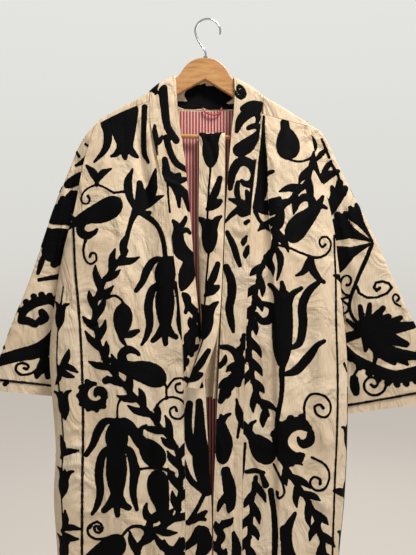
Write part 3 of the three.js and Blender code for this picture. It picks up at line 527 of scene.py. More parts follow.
def sleeve_half(side, face, around=84, along=252):
    """One layer of a sleeve, from the underarm fold to the upper fold, and down from the armhole."""
    upper, under = line_through(side["sleeve"]["upper"]), line_through(side["sleeve"]["under"])
    t = np.linspace(0, 1, along + 1)
    f = np.linspace(0, 1, around + 1)[None, :]
    share = (1 - np.cos(math.pi * f)) / 2

    def layer(t):
        low, high = point_on(under, t)[:, None], point_on(upper, t)[:, None]
        points = mix(low, high, share[..., None])
        half = mix(*SLEEVE_HALF, t)[:, None] * np.sin(math.pi * f) ** 0.8
        rise = 0
        for at0, at1, start, end, height, width in SLEEVE_FOLDS:
            centre = mix(at0, at1, (t - start) / (end - start))[:, None]
            show = (smooth(start, start + 0.15, t) * (1 - smooth(end - 0.15, end, t)))[:, None]
            rise = rise + height * show * bell(share - centre, width)
        points[..., 1] += face * (half + rise) * (f > 0) * (f < 1)
        return points

    points = layer(t)
    off = armhole_point(side, share, face) - layer(np.zeros(1))
    return points + off * (np.maximum(0, 1 - t / 0.3) ** 2)[:, None, None]


lining_points, lining_flat = lining_grid()
sleeves = {
    name: {face: sleeve_half(side, face) for face in (-1, 1)} for name, side in SIDES.items()
}
print("a sleeve's front has", sleeves["right"][-1].shape[:2], "points")

# %% [markdown]
# ## Creases
# Cotton that has been folded away keeps its creases. Each one here is a soft ridge or trough: a short
# line on the flat cloth with a width and a height, strongest in its middle. Every panel is pushed
# out along its own surface by the sum of its creases before anything is meshed, so the needlework
# follows them too.


# %% Strokes and creases
def rounded(points, per_span=6):
    """A smooth line through given points; any further columns, such as a radius, go with it."""
    p = np.array(points, float)
    if len(p) < 3:
        return mix(p[0], p[-1], np.linspace(0, 1, per_span + 1)[:, None])
    p = np.concatenate([[2 * p[0] - p[1]], p, [2 * p[-1] - p[-2]]])
    t = np.arange(per_span)[:, None] / per_span
    spans = []
    for a, b, c, d in zip(p[:-3], p[1:-2], p[2:-1], p[3:]):
        spans.append(
            b + (c - a) * t / 2 + (2 * a - 5 * b + 4 * c - d) * t**2 / 2 + (3 * b - a - 3 * c + d) * t**3 / 2
        )
    return np.concatenate([*spans, p[-2:-1]])


def from_line(flat, line):
    """Each point's distance from a line, and how far along the line its nearest place is, from 0 to 1."""
    best = np.full(flat.shape[:-1], 1e9)
    along = np.zeros(flat.shape[:-1])
    spans = len(line) - 1
    for k in range(spans):
        a, step = line[k, :2], line[k + 1, :2] - line[k, :2]
        t = np.clip(((flat - a) @ step) / max(step @ step, 1e-9), 0, 1)
        distance = np.linalg.norm(flat - a - t[..., None] * step, axis=-1)
        nearer = distance < best
        best = np.where(nearer, distance, best)
        along = np.where(nearer, (k + t) / spans, along)
    return best, along


CREASE_DEPTH = 1.6  # how much deeper they lie than the heights given with them
CREASE_ENDS, CREASE_TAPER = (0.02, 0.98), 0.7


def crease_height(flat, creases):
    height = np.zeros(flat.shape[:-1])
    for points, width, rise in creases:
        line = rounded(points, 3)
        reach = 3 * width
        low, high = line.min(0) - reach, line.max(0) + reach
        near = np.all((flat > low) & (flat < high), axis=-1)
        distance, along = from_line(flat[near], line)
        strength = np.sin(math.pi * np.clip(along, *CREASE_ENDS)) ** CREASE_TAPER
        height[near] += CREASE_DEPTH * rise * strength * bell(distance, width)
    return height


def outward(points, closed=False):
    """Unit normals of a grid of points, all on one side of it."""
    if closed:
        across = (np.roll(points, -1, axis=1) - np.roll(points, 1, axis=1)) / 2
    else:
        across = np.gradient(points, axis=1)
    out = np.cross(np.gradient(points, axis=0), across)
    return out / np.maximum(np.linalg.norm(out, axis=2, keepdims=True), 1e-9)


CREASES = {
    "front_right": [
        ([(-150, -420), (-158, -540), (-150, -700)], 14, -2.4),
        ([(-226, -420), (-236, -560), (-232, -700)], 13, 2),
        ([(-110, -760), (-122, -900), (-112, -1060)], 13, -2.4),
        ([(-160, -800), (-170, -960), (-164, -1120)], 14, 2.2),
        ([(-262, -622), (-238, -628), (-214, -622)], 3.2, 2.6),
        ([(-262, -633), (-236, -639), (-210, -633)], 4, -2.4),
        ([(-300, -640), (-284, -646), (-268, -640)], 3, 2),
        ([(-286, -862), (-270, -850), (-252, -856)], 4, 2.6),
        ([(-292, -893), (-272, -884), (-250, -892)], 5, 2.8),
        ([(-292, -905), (-272, -897), (-250, -903)], 4, -2.6),
        ([(-296, -930), (-270, -921), (-240, -934)], 5, 2.4),
        ([(-296, -965), (-270, -950), (-236, -962)], 6, 2.8),
        ([(-290, -992), (-262, -975), (-236, -982)], 5, -2.4),
        ([(-270, -1010), (-240, -1022), (-214, -1016)], 6, 2.4),
        ([(-150, -215), (-142, -300), (-120, -400)], 9, -3.4),
        ([(-124, -205), (-112, -270), (-104, -340)], 5, -2.6),
        ([(-205, -235), (-214, -300), (-232, -360)], 9, 2.2),
        ([(-130, -690), (-112, -702), (-92, -700)], 6, 1.8),
        ([(-150, -1040), (-110, -1052), (-70, -1046)], 7, 2),
        ([(-235, -1150), (-190, -1140), (-130, -1150)], 8, 2),
        ([(-196, -880), (-205, -960), (-200, -1060)], 9, 1.8),
        ([(-120, -470), (-110, -560), (-104, -640)], 8, -1.6),
    ],
    "front_left": [
        ([(126, -240), (124, -400), (132, -600)], 13, -4), ([(104, -420), (100, -560), (106, -700)], 10, 2.4),
        ([(196, -560), (206, -700), (200, -860)], 16, -2), ([(150, -620), (146, -760), (150, -900)], 14, 1.8),
        ([(160, -480), (186, -500), (206, -505)], 7, 1.8), ([(150, -880), (176, -892), (200, -905)], 6, 2.4),
        ([(200, -980), (232, -1000), (256, -1022)], 6, 2.8),
        ([(196, -1010), (226, -1024), (250, -1048)], 6, -2.4),
        ([(84, -880), (104, -930), (120, -990)], 7, 2.4), ([(80, -960), (98, -1010), (92, -1100)], 8, -2.8),
        ([(150, -210), (146, -300), (150, -380)], 9, -2), ([(186, -262), (176, -330), (160, -400)], 8, 1.8),
        ([(225, -840), (244, -880), (250, -930)], 7, 1.8), ([(90, -640), (104, -720), (100, -800)], 8, -1.8),
        ([(214, -640), (230, -700), (226, -780)], 10, 1.4),
        ([(160, -1110), (200, -1130), (250, -1120)], 8, 2),
    ],
    "band": [
        ([(-100, -330), (-78, -345), (-58, -350)], 5, 1.4), ([(46, -430), (70, -446), (90, -436)], 5, 2),
        ([(40, -446), (66, -462), (88, -452)], 4, -1.8), ([(18, -860), (30, -900), (26, -960)], 5, 2.6),
        ([(44, -850), (52, -900), (44, -980)], 5, -2.4), ([(30, -990), (48, -1040), (40, -1110)], 6, 2.6),
        ([(60, -700), (48, -720), (36, -726)], 5, 1.6), ([(-50, -660), (-40, -690), (-38, -730)], 5, 1.4),
        ([(-34, -1010), (-22, -1060), (-28, -1120)], 6, 1.6),
        ([(-108, -210), (-96, -250), (-90, -300)], 6, -1.2),
    ],
    "back": [
        ([(-250, -500), (-180, -520), (-120, -505)], 8, 2), ([(40, -470), (110, -500), (190, -480)], 9, 2.2),
        ([(-210, -780), (-150, -800), (-80, -785)], 8, 2), ([(20, -840), (90, -850), (170, -835)], 9, -1.2),
        ([(-40, -980), (40, -1000), (130, -985)], 8, 2),
        ([(-260, -1010), (-200, -1000), (-130, -1015)], 8, 2.2),
        ([(200, -640), (236, -660), (262, -650)], 6, 2.2),
        ([(-286, -680), (-262, -700), (-236, -690)], 6, 2.2),
        ([(-100, -230), (-70, -280), (-60, -340)], 10, 1.8), ([(70, -230), (60, -290), (76, -350)], 10, 1.2),
        ([(-160, -1140), (-80, -1128), (10, -1142)], 9, -1.2),
        ([(120, -1150), (180, -1140), (240, -1156)], 8, 2),
    ],
    "sleeve_right": [
        ([(-262, -270), (-284, -330), (-290, -400)], 7, -2),
        ([(-300, -350), (-306, -400), (-322, -450)], 6, 1.6),
        ([(-330, -560), (-350, -600), (-384, -610)], 7, 1.8),
        ([(-420, -700), (-380, -690), (-330, -700)], 8, -1.8),
        ([(-290, -730), (-330, -745), (-360, -740)], 6, 2),
        ([(-395, -730), (-400, -760), (-410, -780)], 6, 1.6),
    ],
    "sleeve_left": [
        ([(236, -262), (258, -320), (270, -390)], 7, -2), ([(286, -350), (300, -420), (318, -470)], 7, 1.8),
        ([(300, -560), (340, -590), (380, -600)], 8, 1.8), ([(330, -740), (390, -720), (440, -730)], 8, -1.8),
        ([(296, -690), (320, -730), (330, -790)], 7, 2), ([(430, -690), (450, -730), (480, -760)], 7, 1.6),
    ],
}
print(sum(len(creases) for creases in CREASES.values()), "creases laid by hand")


# %% The creased panels
def creased(points, flat, creases, facing, closed=False):
    """The panel after its creases, with its outward normals. facing is a sign that turns them out."""
    out = facing * outward(points, closed)
    points = points + out * crease_height(flat, creases)[..., None]
    return points, facing * outward(points, closed)


panels = {}
for name, side in SIDES.items():
    points, flat = fronts[name]
    panels[f"front_{name}"] = (*creased(points, flat, CREASES[f"front_{name}"], side["way"]), flat)
    points, flat = bands[name]
    panels[f"band_{name}"] = (*creased(points, flat, CREASES["band"], side["way"]), flat)
panels["back"] = (*creased(back_points, back_flat, CREASES["back"], 1), back_flat)
BACK_CREASES_APART = (6, -40)  # the back layer of a sleeve has the front's creases, moved by this much
for name, side in SIDES.items():
    front, back = sleeves[name][-1], sleeves[name][1]
    ring = np.concatenate([front, back[:, -2:0:-1]], axis=1)
    flat = ring[..., [0, 2]].copy()
    shifted = flat.copy()
    shifted[:, front.shape[1]:] += BACK_CREASES_APART
    pushed = creased(ring, shifted, CREASES[f"sleeve_{name}"], side["way"], closed=True)
    panels[f"sleeve_{name}"] = (*pushed, flat)
for name, (points, out, flat) in panels.items():
    middle = out[len(out) // 2, out.shape[1] // 2]
    print(name, points.shape[:2], "faces", np.round(middle, 2))

# %% [markdown]
# ## Cloth and needlework as meshes
# The cloth is a closed wall: the grid's outside, the same grid moved in by the cloth's thickness, and the
# edges between them. The coat's and the belt's take every second point of the grid. The needlework is
# cut out of the full grid instead: each point knows how far inside a flower it lies, and the outline
# runs between the points through the place where that distance is zero. This marching-squares cut gives
# smooth flowers from plain strokes. The thread is sunk a little at its edge and stands up by its own
# thickness inside it.


# %% Meshes
def mesh_object(name, vertices, faces, flat, material):
    mesh = bpy.data.meshes.new(name)
    mesh.from_pydata((vertices * MM).tolist(), [], faces)
    mesh.polygons.foreach_set("use_smooth", np.ones(len(mesh.polygons), bool))
    layer = mesh.uv_layers.new(name="flat")
    corners = np.empty(len(mesh.loops), np.int32)
    mesh.loops.foreach_get("vertex_index", corners)
    layer.data.foreach_set("uv", (flat[corners] * MM).astype(np.float32).ravel())
    mesh.set_sharp_from_angle(angle=math.radians(50))
    mesh.materials.append(material)
    made = bpy.data.objects.new(name, mesh)
    bpy.context.scene.collection.objects.link(made)
    return made


def shell(name, points, out, flat, thickness, material, has=None, closed=False):
    rows, columns = points.shape[:2]
    count = rows * columns
    ids = np.arange(count).reshape(rows, columns)
    if closed:
        ids = np.concatenate([ids, ids[:, :1]], axis=1)
    quads = np.stack([ids[:-1, :-1], ids[:-1, 1:], ids[1:, 1:], ids[1:, :-1]], axis=-1)
    quads = quads.reshape(-1, 4) if has is None else quads[has]
    p, n = points.reshape(-1, 3), out.reshape(-1, 3)
    turn = np.cross(p[quads[:, 1]] - p[quads[:, 0]], p[quads[:, 3]] - p[quads[:, 0]])
    if np.sum(turn * n[quads[:, 0]]) < 0:
        quads = quads[:, ::-1]
    edges = np.concatenate([quads[:, [k, (k + 1) % 4]] for k in range(4)])
    rim = edges[~np.isin(edges @ [count, 1], edges @ [1, count])]
    rim = np.stack([rim[:, 1], rim[:, 0], rim[:, 0] + count, rim[:, 1] + count], axis=-1)
    faces = np.concatenate([quads, quads[:, ::-1] + count, rim])
    used, faces = np.unique(faces, return_inverse=True)
    both = np.concatenate([p, p - n * thickness])[used]
    both_flat = np.tile(flat.reshape(-1, 2), (2, 1))[used]
    return mesh_object(name, both, faces.reshape(-1, 4).tolist(), both_flat, material)


THREAD_SUNK, THREAD_RISE, THREAD_EDGE = -0.35, 1.1, 1.8  # mm: at the outline, inside, and how soon
CUT_NEAREST = 0.06  # how near a corner a crossing may lie, as a share of the cell


def cut_shapes():
    """For each way that a cell's corners can lie inside: the corners and crossings round what is inside."""
    walk = ["a", ("a", "b"), "b", ("b", "c"), "c", ("c", "d"), "d", ("d", "a")]
    weight = {"a": 1, "b": 2, "c": 4, "d": 8}
    shapes = {}
    for case in range(1, 16):
        inside = {corner for corner in weight if case & weight[corner]}
        keep = []
        for k, step in enumerate(walk):
            crossing = isinstance(step, tuple) and (step[0] in inside) != (step[1] in inside)
            if step in inside or crossing:
                keep.append(k)
        shapes[case] = keep
    return shapes


CUT_SHAPES = cut_shapes()


def inlay(name, points, out, flat, inside, material):
    """The needlework of one panel as a raised mesh."""
    rows, columns = inside.shape
    corner = np.arange(rows * columns).reshape(rows, columns)
    level = rows * columns + np.arange(rows * (columns - 1)).reshape(rows, columns - 1)
    upright = level[-1, -1] + 1 + np.arange((rows - 1) * columns).reshape(rows - 1, columns)
    walk = np.stack([
        corner[:-1, :-1], level[:-1], corner[:-1, 1:], upright[:, 1:],
        corner[1:, 1:], level[1:], corner[1:, :-1], upright[:, :-1],
    ], axis=-1)
    hit = (inside > 0).astype(int)
    case = hit[:-1, :-1] + 2 * hit[:-1, 1:] + 4 * hit[1:, 1:] + 8 * hit[1:, :-1]
    faces = []
    for key, keep in CUT_SHAPES.items():
        faces += walk[case == key][:, keep].tolist()

    def across_all(values):
        """Values at the corners and at every crossing between two of them."""
        stack = [values.reshape(rows * columns, -1)]
        for a, b, fa, fb in (
            (values[:, :-1], values[:, 1:], inside[:, :-1], inside[:, 1:]),
            (values[:-1], values[1:], inside[:-1], inside[1:]),
        ):
            between = np.where((fa > 0) != (fb > 0), fa / np.where(fa == fb, 1, fa - fb), 0.5)
            share = np.clip(between, CUT_NEAREST, 1 - CUT_NEAREST)[..., None]
            stack.append(mix(a.reshape(*fa.shape, -1), b.reshape(*fa.shape, -1), share).reshape(fa.size, -1))
        return np.concatenate(stack)

    inset = np.maximum(across_all(inside)[:, 0], 0)
    inset[rows * columns:] = 0
    rise = mix(THREAD_SUNK, THREAD_RISE, smooth(0, THREAD_EDGE, inset))
    vertices = across_all(points) + across_all(out) * rise[:, None]
    used, index = np.unique(np.concatenate(faces), return_inverse=True)
    lengths = np.cumsum([len(face) for face in faces])[:-1]
    faces = [part.tolist() for part in np.split(index, lengths)]
    p = vertices[used]
    first = np.array([face[:3] for face in faces])
    turn = np.cross(p[first[:, 1]] - p[first[:, 0]], p[first[:, 2]] - p[first[:, 0]])
    if np.sum(turn * across_all(out)[used][first[:, 0]]) < 0:
        faces = [face[::-1] for face in faces]
    made = mesh_object(name, p, faces, across_all(flat)[used], material)
    rows_of_thread = made.data.attributes.new("inset", "FLOAT", "POINT")
    rows_of_thread.data.foreach_set("value", inset[used].astype(np.float32))
    print(name, len(faces), "faces")
    return made

# %% [markdown]
# ## The motifs
# The embroiderer's repertoire is small: tulips, hanging lilies, buds with a curling petal, pomegranates,
# spirals, a scalloped crescent and leafy stems. Each motif here is a handful of strokes, as if drawn with
# a soft brush: a few points in millimetres, each with the brush's half width, from the motif's root at
# the origin upwards. A stroke's distance is easy to work out, so the same strokes give any panel its
# needlework.

# %% Motifs
TULIP = [
    [(0, 0, 4), (0, 14, 9), (0, 38, 15), (0, 80, 17), (0, 126, 15)],
    [(-7, 120, 9), (-15, 140, 6), (-26, 152, 3.5)],
    [(-1, 126, 9), (-1, 144, 6), (-3, 156, 4)],
    [(8, 120, 9), (18, 136, 6), (34, 146, 4)],
]
TULIP_SIDE = [
    [(3, 4, 4), (26, 12, 8), (46, 34, 8), (62, 58, 5), (74, 66, 4)],
    [(10, 50, 3), (30, 62, 7), (35, 96, 8), (33, 130, 8), (44, 156, 7), (60, 172, 5)],
]
SMALL_TULIP = [
    [(0, 0, 2.5), (0, 10, 7), (0, 24, 11.5), (0, 42, 11)],
    [(-5, 44, 7), (-12, 54, 4.5), (-20, 58, 2.5)],
    [(0, 44, 6), (0, 56, 3)],
    [(5, 44, 7), (12, 54, 4.5), (20, 57, 2.5)],
]
LILY = [
    [(0, 2, 5), (0, 18, 14), (0, 34, 20), (0, 48, 17), (0, 58, 13)],
    [(0, 58, 13), (0, 84, 18), (0, 112, 17), (1, 138, 12), (1, 154, 12)],
    [(-4, 150, 9), (-15, 166, 7), (-25, 176, 5.5)],
    [(1, 154, 9), (1, 170, 6.5), (2, 182, 5.5)],
    [(6, 150, 9), (15, 162, 7), (24, 168, 5.5)],
    [(-2, 2, 4), (-24, 6, 7), (-38, 26, 8), (-47, 50, 6.5), (-60, 70, 5)],
    [(2, 2, 4), (17, 4, 7), (30, 20, 9), (38, 42, 6), (43, 54, 3)],
    [(-11, 52, 5), (-28, 70, 7.5), (-35, 104, 8.5), (-32, 140, 7.5), (-38, 166, 6), (-48, 184, 3.5)],
    [(11, 50, 5), (27, 64, 7.5), (34, 100, 8), (32, 140, 6.5), (39, 172, 4)],
]
BUD = [
    [(0, 4, 8), (-3, 22, 20), (-13, 44, 20), (-27, 64, 15), (-37, 82, 12)],
    [(-36, 82, 10), (-50, 92, 6), (-64, 90, 3.5)],
    [(-38, 84, 10), (-46, 102, 6.5), (-50, 114, 4)],
    [(-33, 84, 9), (-24, 102, 8.5), (-7, 102, 8), (2, 88, 5.5), (3, 78, 3.5)],
]
POMEGRANATE = [
    [(0, 2, 7), (0, 20, 21), (-4, 38, 18), (-9, 56, 10), (-12, 72, 8.5)],
    [(-13, 72, 7), (-22, 84, 5.5), (-28, 94, 2.5)],
    [(-12, 74, 7), (-11, 88, 5.5), (-11, 96, 3.5)],
    [(-10, 72, 7), (0, 84, 5), (12, 86, 3)],
]
DROP = [[(0, 2, 6), (0, 22, 17), (-1, 42, 15), (-3, 60, 8)], [(-3, 60, 7), (-2, 72, 5), (5, 82, 3.5)]]
DROP_LEAF = [[(-4, 62, 4), (-16, 58, 7), (-29, 52, 4.5)]]
SPROUT = [[(0, 0, 4), (0, 16, 6)], [(-1, 12, 6), (-9, 28, 8), (-24, 44, 3)],
    [(1, 12, 6), (12, 26, 7), (30, 36, 3)]]
PALMETTE = [
    [(0, 0, 5), (-15, 28, 7), (-20, 58, 8), (-12, 86, 2.5)],
    [(2, 4, 7), (6, 34, 9), (4, 58, 6)],
    [(4, 6, 9), (26, 38, 12), (32, 62, 8), (36, 88, 2.5)],
    [(6, 4, 7), (28, 20, 9), (54, 32, 2.5)],
    [(4, -4, 6), (26, -4, 5)],
]
THREE_LEAF = [
    [(0, 0, 4), (-1, 22, 6), (0, 38, 7), (1, 62, 3)],
    [(0, 22, 5), (-10, 30, 5.5), (-15, 38, 3)],
    [(0, 22, 5), (9, 28, 5.5), (15, 38, 3)],
]
FORK = [[(0, 0, 5), (-2, 14, 9), (-14, 32, 6), (-30, 40, 2.5)],
    [(1, 6, 8), (8, 28, 8), (22, 46, 6), (32, 52, 4.5)]]
S_PETAL = [[(0, 0, 4), (11, 26, 8), (9, 56, 9), (-4, 84, 9)]]
print("a lily is", max(p[1] for p in LILY[3]), "mm long, a tulip", max(p[1] for p in TULIP[2]), "mm")


# %% Motifs that follow a rule
def spiral(radius, turns=1.75, hand=1, start=0, width=2.6):
    """A curl that winds in to its eye from a point on its rim."""
    angle = math.radians(start) + hand * np.linspace(0, turns * 2 * math.pi, 14)
    reach = radius * np.linspace(1, 0.2, 14)
    half = width * np.concatenate([np.linspace(1, 1.15, 12), [1.4, 1.7]])
    return [np.column_stack([reach * np.cos(angle), reach * np.sin(angle), half])]


def crescent(radius, scallops=7, sweep=265, width=11, curl=True):
    """A thick C, open to the right, scalloped outside, with one end curled in to a round eye."""
    angle = np.radians(np.linspace(75, 75 + sweep, 12))
    half = width * np.array([0.45, 0.7, 0.85, 0.95, 1, 1.05, 1.1, 1.1, 1.05, 0.95, 0.8, 0.55])
    strokes = [np.column_stack([radius * np.cos(angle), radius * np.sin(angle), half])]
    for k in range(scallops):
        a = math.radians(110 + (sweep - 70) * k / (scallops - 1))
        reach = radius + width * 0.85
        spot = (reach * math.cos(a), reach * math.sin(a), width * 0.62)
        strokes.append([spot, (spot[0] * 1.01, spot[1] * 1.01, spot[2])])
    if curl:
        r = radius
        strokes.append([
            (0.92 * r, -0.28 * r, 7), (0.8 * r, 0.16 * r, 9), (0.42 * r, 0.3 * r, 8.5),
            (0.16 * r, 0.08 * r, 5),
            (0.12 * r, -0.12 * r, 3.5),
        ])
    return strokes


def wedge(length, half_end):
    """A petal of a great round flower: a point at the root and a scalloped end."""
    strokes = [[(0, 0, 1.5), (0, length * 0.5, half_end * 0.5), (0, length * 0.84, half_end * 0.86)]]
    for lobe in (-1, 0, 1):
        x = half_end * 1.1 * lobe
        top = length - 0.2 * abs(x)
        strokes.append([(x * 0.3, length * 0.6, half_end * 0.4),
            (x * 0.8, top - half_end * 0.5, half_end * 0.44),
                        (x, top, half_end * 0.36)])
    return strokes


def vine(points, pitch=21, leaf=43, stem=5, lean=38, width=7.6):
    """A stem with fat pointed leaves, left and right in turn, that lean the way it grows."""
    line = rounded([(x, z, stem) for x, z in points], 8)
    steps = np.hypot(*np.diff(line[:, :2], axis=0).T)
    reach = np.concatenate([[0], np.cumsum(steps)])
    strokes = [line]
    count = int(reach[-1] / pitch)
    for k in range(1, count + 1):
        at = reach[-1] * (k - 0.4) / count
        x, z = (np.interp(at, reach, line[:, axis]) for axis in (0, 1))
        ahead = [
            np.interp(at + 4, reach, line[:, axis]) - np.interp(at - 4, reach, line[:, axis])
            for axis in (0, 1)
        ]
        hand = 1 if k % 2 else -1
        length = leaf * (1 + 0.17 * math.sin(2.3 * k))
        a = math.atan2(ahead[1], ahead[0]) + hand * math.radians(lean + 8 * math.sin(1.7 * k))
        b = a - hand * 0.1
        strokes.append([
            (x, z, stem * 1.3), (x + 0.34 * length * math.cos(a), z + 0.34 * length * math.sin(a), width),
            (x + 0.66 * length * math.cos(a), z + 0.66 * length * math.sin(a), width * 0.82),
            (x + length * math.cos(b), z + length * math.sin(b), 2.2),
        ])
    return strokes


def placed(strokes, x, z, size=1.0, turn=0.0, flip=False):
    """A motif in its place: its root at x, z, turned anticlockwise by degrees."""
    c, s = math.cos(math.radians(turn)), math.sin(math.radians(turn))
    moved = []
    for points in strokes:
        p = np.array(points, float)
        across = -p[:, 0] if flip else p[:, 0]
        moved.append(np.column_stack([
            x + size * (c * across - s * p[:, 1]), z + size * (s * across + c * p[:, 1]), p[:, 2] * size**0.8,
        ]))
    return moved


OUTSIDE = -9.0
FULLER, FULLER_WIDE, WIDE_FROM = 0.4, 0.2, 3.5  # how much a stroke's half width is let out
UNEVEN = 0.35  # mm that an outline wanders


def stitched(flat, strokes):
    """How far inside the needlework each point of a panel lies, in millimetres; below zero outside it."""
    inside = np.full(flat.shape[:-1], OUTSIDE)
    for points in strokes:
        line = rounded(points, 5) if len(points) < 12 else np.array(points, float)
        line[:, 2] += FULLER + FULLER_WIDE * np.maximum(line[:, 2] - WIDE_FROM, 0)
        reach = line[:, 2].max() + 6
        low, high = line[:, :2].min(0) - reach, line[:, :2].max(0) + reach
        near = np.all((flat > low) & (flat < high), axis=-1)
        x, z = flat[near].T
        best = inside[near]
        for (x0, z0, r0), (x1, z1, r1) in zip(line[:-1], line[1:]):
            dx, dz = x1 - x0, z1 - z0
            t = np.clip(((x - x0) * dx + (z - z0) * dz) / max(dx * dx + dz * dz, 1e-9), 0, 1)
            best = np.maximum(best, mix(r0, r1, t) - np.hypot(x - x0 - t * dx, z - z0 - t * dz))
        inside[near] = best
    x, z = flat[..., 0], flat[..., 1]
    # The hand's own unevenness along an outline.
    wander = np.sin(x / 3.1 + 1.7 * np.sin(z / 5.3)) * np.sin(z / 2.9 + 1.3 * np.sin(x / 6.1))
    return inside + UNEVEN * wander


print("a vine of 500 mm has", len(vine([(0, 0), (0, -500)])) - 1, "leaves")

# %% [markdown]
# ## Where the motifs lie
# A suzani isn't symmetrical: stems wander up each panel and flowers fill what is left. The layouts below
# are lists of motifs with their roots, sizes and turns, in the same millimetres as the pattern. Places
# and turns are uneven on purpose. A few motifs run over an edge, as where a coat is cut from a hanging.

# %% Layout of the fronts
OVER = 180  # a motif that hangs down
RIGHT_NEEDLEWORK = [
    # Below the shoulder: a tulip cut by the seam, with a petal on its left and a long stroke on its right.
    [(-176, -196, 27), (-176, -232, 22), (-173, -258, 16), (-173, -270, 15)],
    [(-178, -268, 9), (-190, -284, 6), (-200, -289, 3.5)],
    [(-173, -272, 9), (-173, -288, 6), (-172, -294, 4)],
    [(-168, -268, 9), (-156, -282, 7), (-147, -289, 4)],
    [(-216, -214, 9), (-208, -244, 8.5), (-213, -274, 7), (-236, -301, 3)],
    [(-132, -186, 6), (-134, -236, 5.5), (-133, -280, 5.5), (-124, -301, 3.5)],
    *placed(SPROUT, -230, -350, 0.95),
    [(-194, -366, 2.6), (-226, -350, 2.4), (-252, -358, 2.4), (-263, -374, 2.4), (-260, -386, 2.4),
     (-250, -388, 2.4), (-245, -380, 2.6), (-249, -372, 3.2)],
    *placed(BUD, -184, -380, 0.98, 142, flip=True),
    [(-194, -366, 3), (-172, -364, 3), (-158, -374, 3), (-152, -392, 4)],
    [(-250, -456, 4), (-257, -482, 3), (-253, -504, 2.6), (-242, -513, 2.6), (-230, -506, 2.6),
     (-231, -493, 2.6),
     (-240, -491, 2.8), (-243, -498, 3.4)],
    *placed(PALMETTE, -148, -402, 1.0, -2),
    [(-148, -400, 8), (-160, -430, 5), (-168, -464, 5), (-176, -500, 5)],
    [(-140, -404, 7), (-106, -432, 5), (-92, -468, 5), (-88, -500, 5)],
    *vine([(-148, -1112), (-127, -1066), (-98, -1048), (-66, -1030), (-58, -990), (-56, -930), (-70, -880),
           (-98, -846), (-136, -800), (-172, -760), (-204, -722), (-222, -682), (-232, -628), (-230, -590),
           (-214, -550), (-188, -514), (-168, -486)], leaf=42),
    *placed(LILY, -89, -500, 0.97, OVER, flip=True),
    [(-212, -584, 4), (-192, -578, 3), (-178, -586, 2.8), (-173, -596, 3)],
    *placed(DROP, -174, -596, 1.0, OVER, flip=True), *placed(DROP_LEAF, -174, -596, 1.05, OVER),
    *placed(BUD, -92, -758, 0.98, 42),
    [(-92, -754, 3), (-86, -764, 2.6), (-85, -790, 2.6)],
    [(-84, -768, 2.6), (-70, -750, 2.6), (-52, -748, 2.6), (-45, -762, 2.6), (-52, -776, 2.6),
     (-64, -774, 2.6),
     (-66, -762, 2.8), (-58, -758, 3.4)],
    [(-110, -812, 3), (-94, -792, 2.6), (-70, -786, 2.6), (-50, -796, 2.6), (-46, -816, 2.6),
     (-58, -830, 2.6),
     (-74, -826, 2.6), (-78, -812, 2.6), (-68, -806, 2.8), (-64, -814, 3.4)],
    *placed(crescent(23, width=9), -234, -782, 1.0, 8),
    [(-210, -752, 7), (-190, -750, 6), (-178, -758, 5)],
    [(-176, -786, 3), (-184, -802, 2.4), (-185, -830, 2.6)],
    *placed(LILY, -186, -830, 1.06, OVER, flip=True),
    *placed(POMEGRANATE, -100, -924, 0.98, 26),
    [(-70, -940, 4), (-92, -930, 3), (-116, -930, 2.8), (-142, -932, 2.8)],
    [(-144, -924, 4), (-143, -940, 4.5), (-149, -960, 3.5)],
    *placed(BUD, -98, -936, 0.92, 160),
    # The swirl of leaves near the hem.
    [(-226, -1040, 2.6), (-244, -1050, 2.6), (-244, -1066, 2.8), (-228, -1076, 3), (-206, -1072, 3)],
    *placed(spiral(15, 1.5, -1, 180), -226, -1054),
    *placed(BUD, -176, -1068, 1.0, 152, flip=True),
    [(-178, -1070, 3), (-158, -1048, 3.4), (-134, -1048, 4), (-122, -1064, 4.5)],
    *vine([(-150, -1200), (-120, -1186), (-90, -1160), (-80, -1120), (-84, -1086)]),
    *placed(crescent(19, 5, 200, 8, curl=False), -70, -1078, 1.0, 96),
    *placed(FORK, -58, -1098, 1.0, 200), *placed(SPROUT, -238, -1150, 1.0, 160),
    *placed(SMALL_TULIP, -200, -1140, 1.1, 170), *placed(spiral(15, 1.6, 1, 90), -236, -1206),
    *placed(THREE_LEAF, -192, -1200, 0.9, 190), *placed(POMEGRANATE, -70, -1196, 0.8, 150),
    # Outside the border's line: small tulips on a thin stem.
    [(-300, -560, 2), (-310, -640, 2), (-312, -720, 2), (-304, -800, 2), (-298, -880, 2), (-303, -960, 2),
     (-299, -1040, 2), (-300, -1130, 2), (-298, -1230, 2)],
    *placed(SMALL_TULIP, -309, -648, 0.95, -4), *placed(SPROUT, -309, -728, 0.9, -60),
    *placed(SPROUT, -309, -724, 0.8, -150), *placed(SMALL_TULIP, -293, -832, 1.0, 8),
    *placed(SPROUT, -304, -912, 0.9, -28), *placed(SMALL_TULIP, -300, -992, 1.0, -6),
    *placed(SPROUT, -302, -1062, 0.9, -40), *placed(SPROUT, -302, -1060, 0.8, -140),
    *placed(SMALL_TULIP, -300, -1130, 1.0, -4), *placed(SPROUT, -300, -1200, 0.9, -50),
]
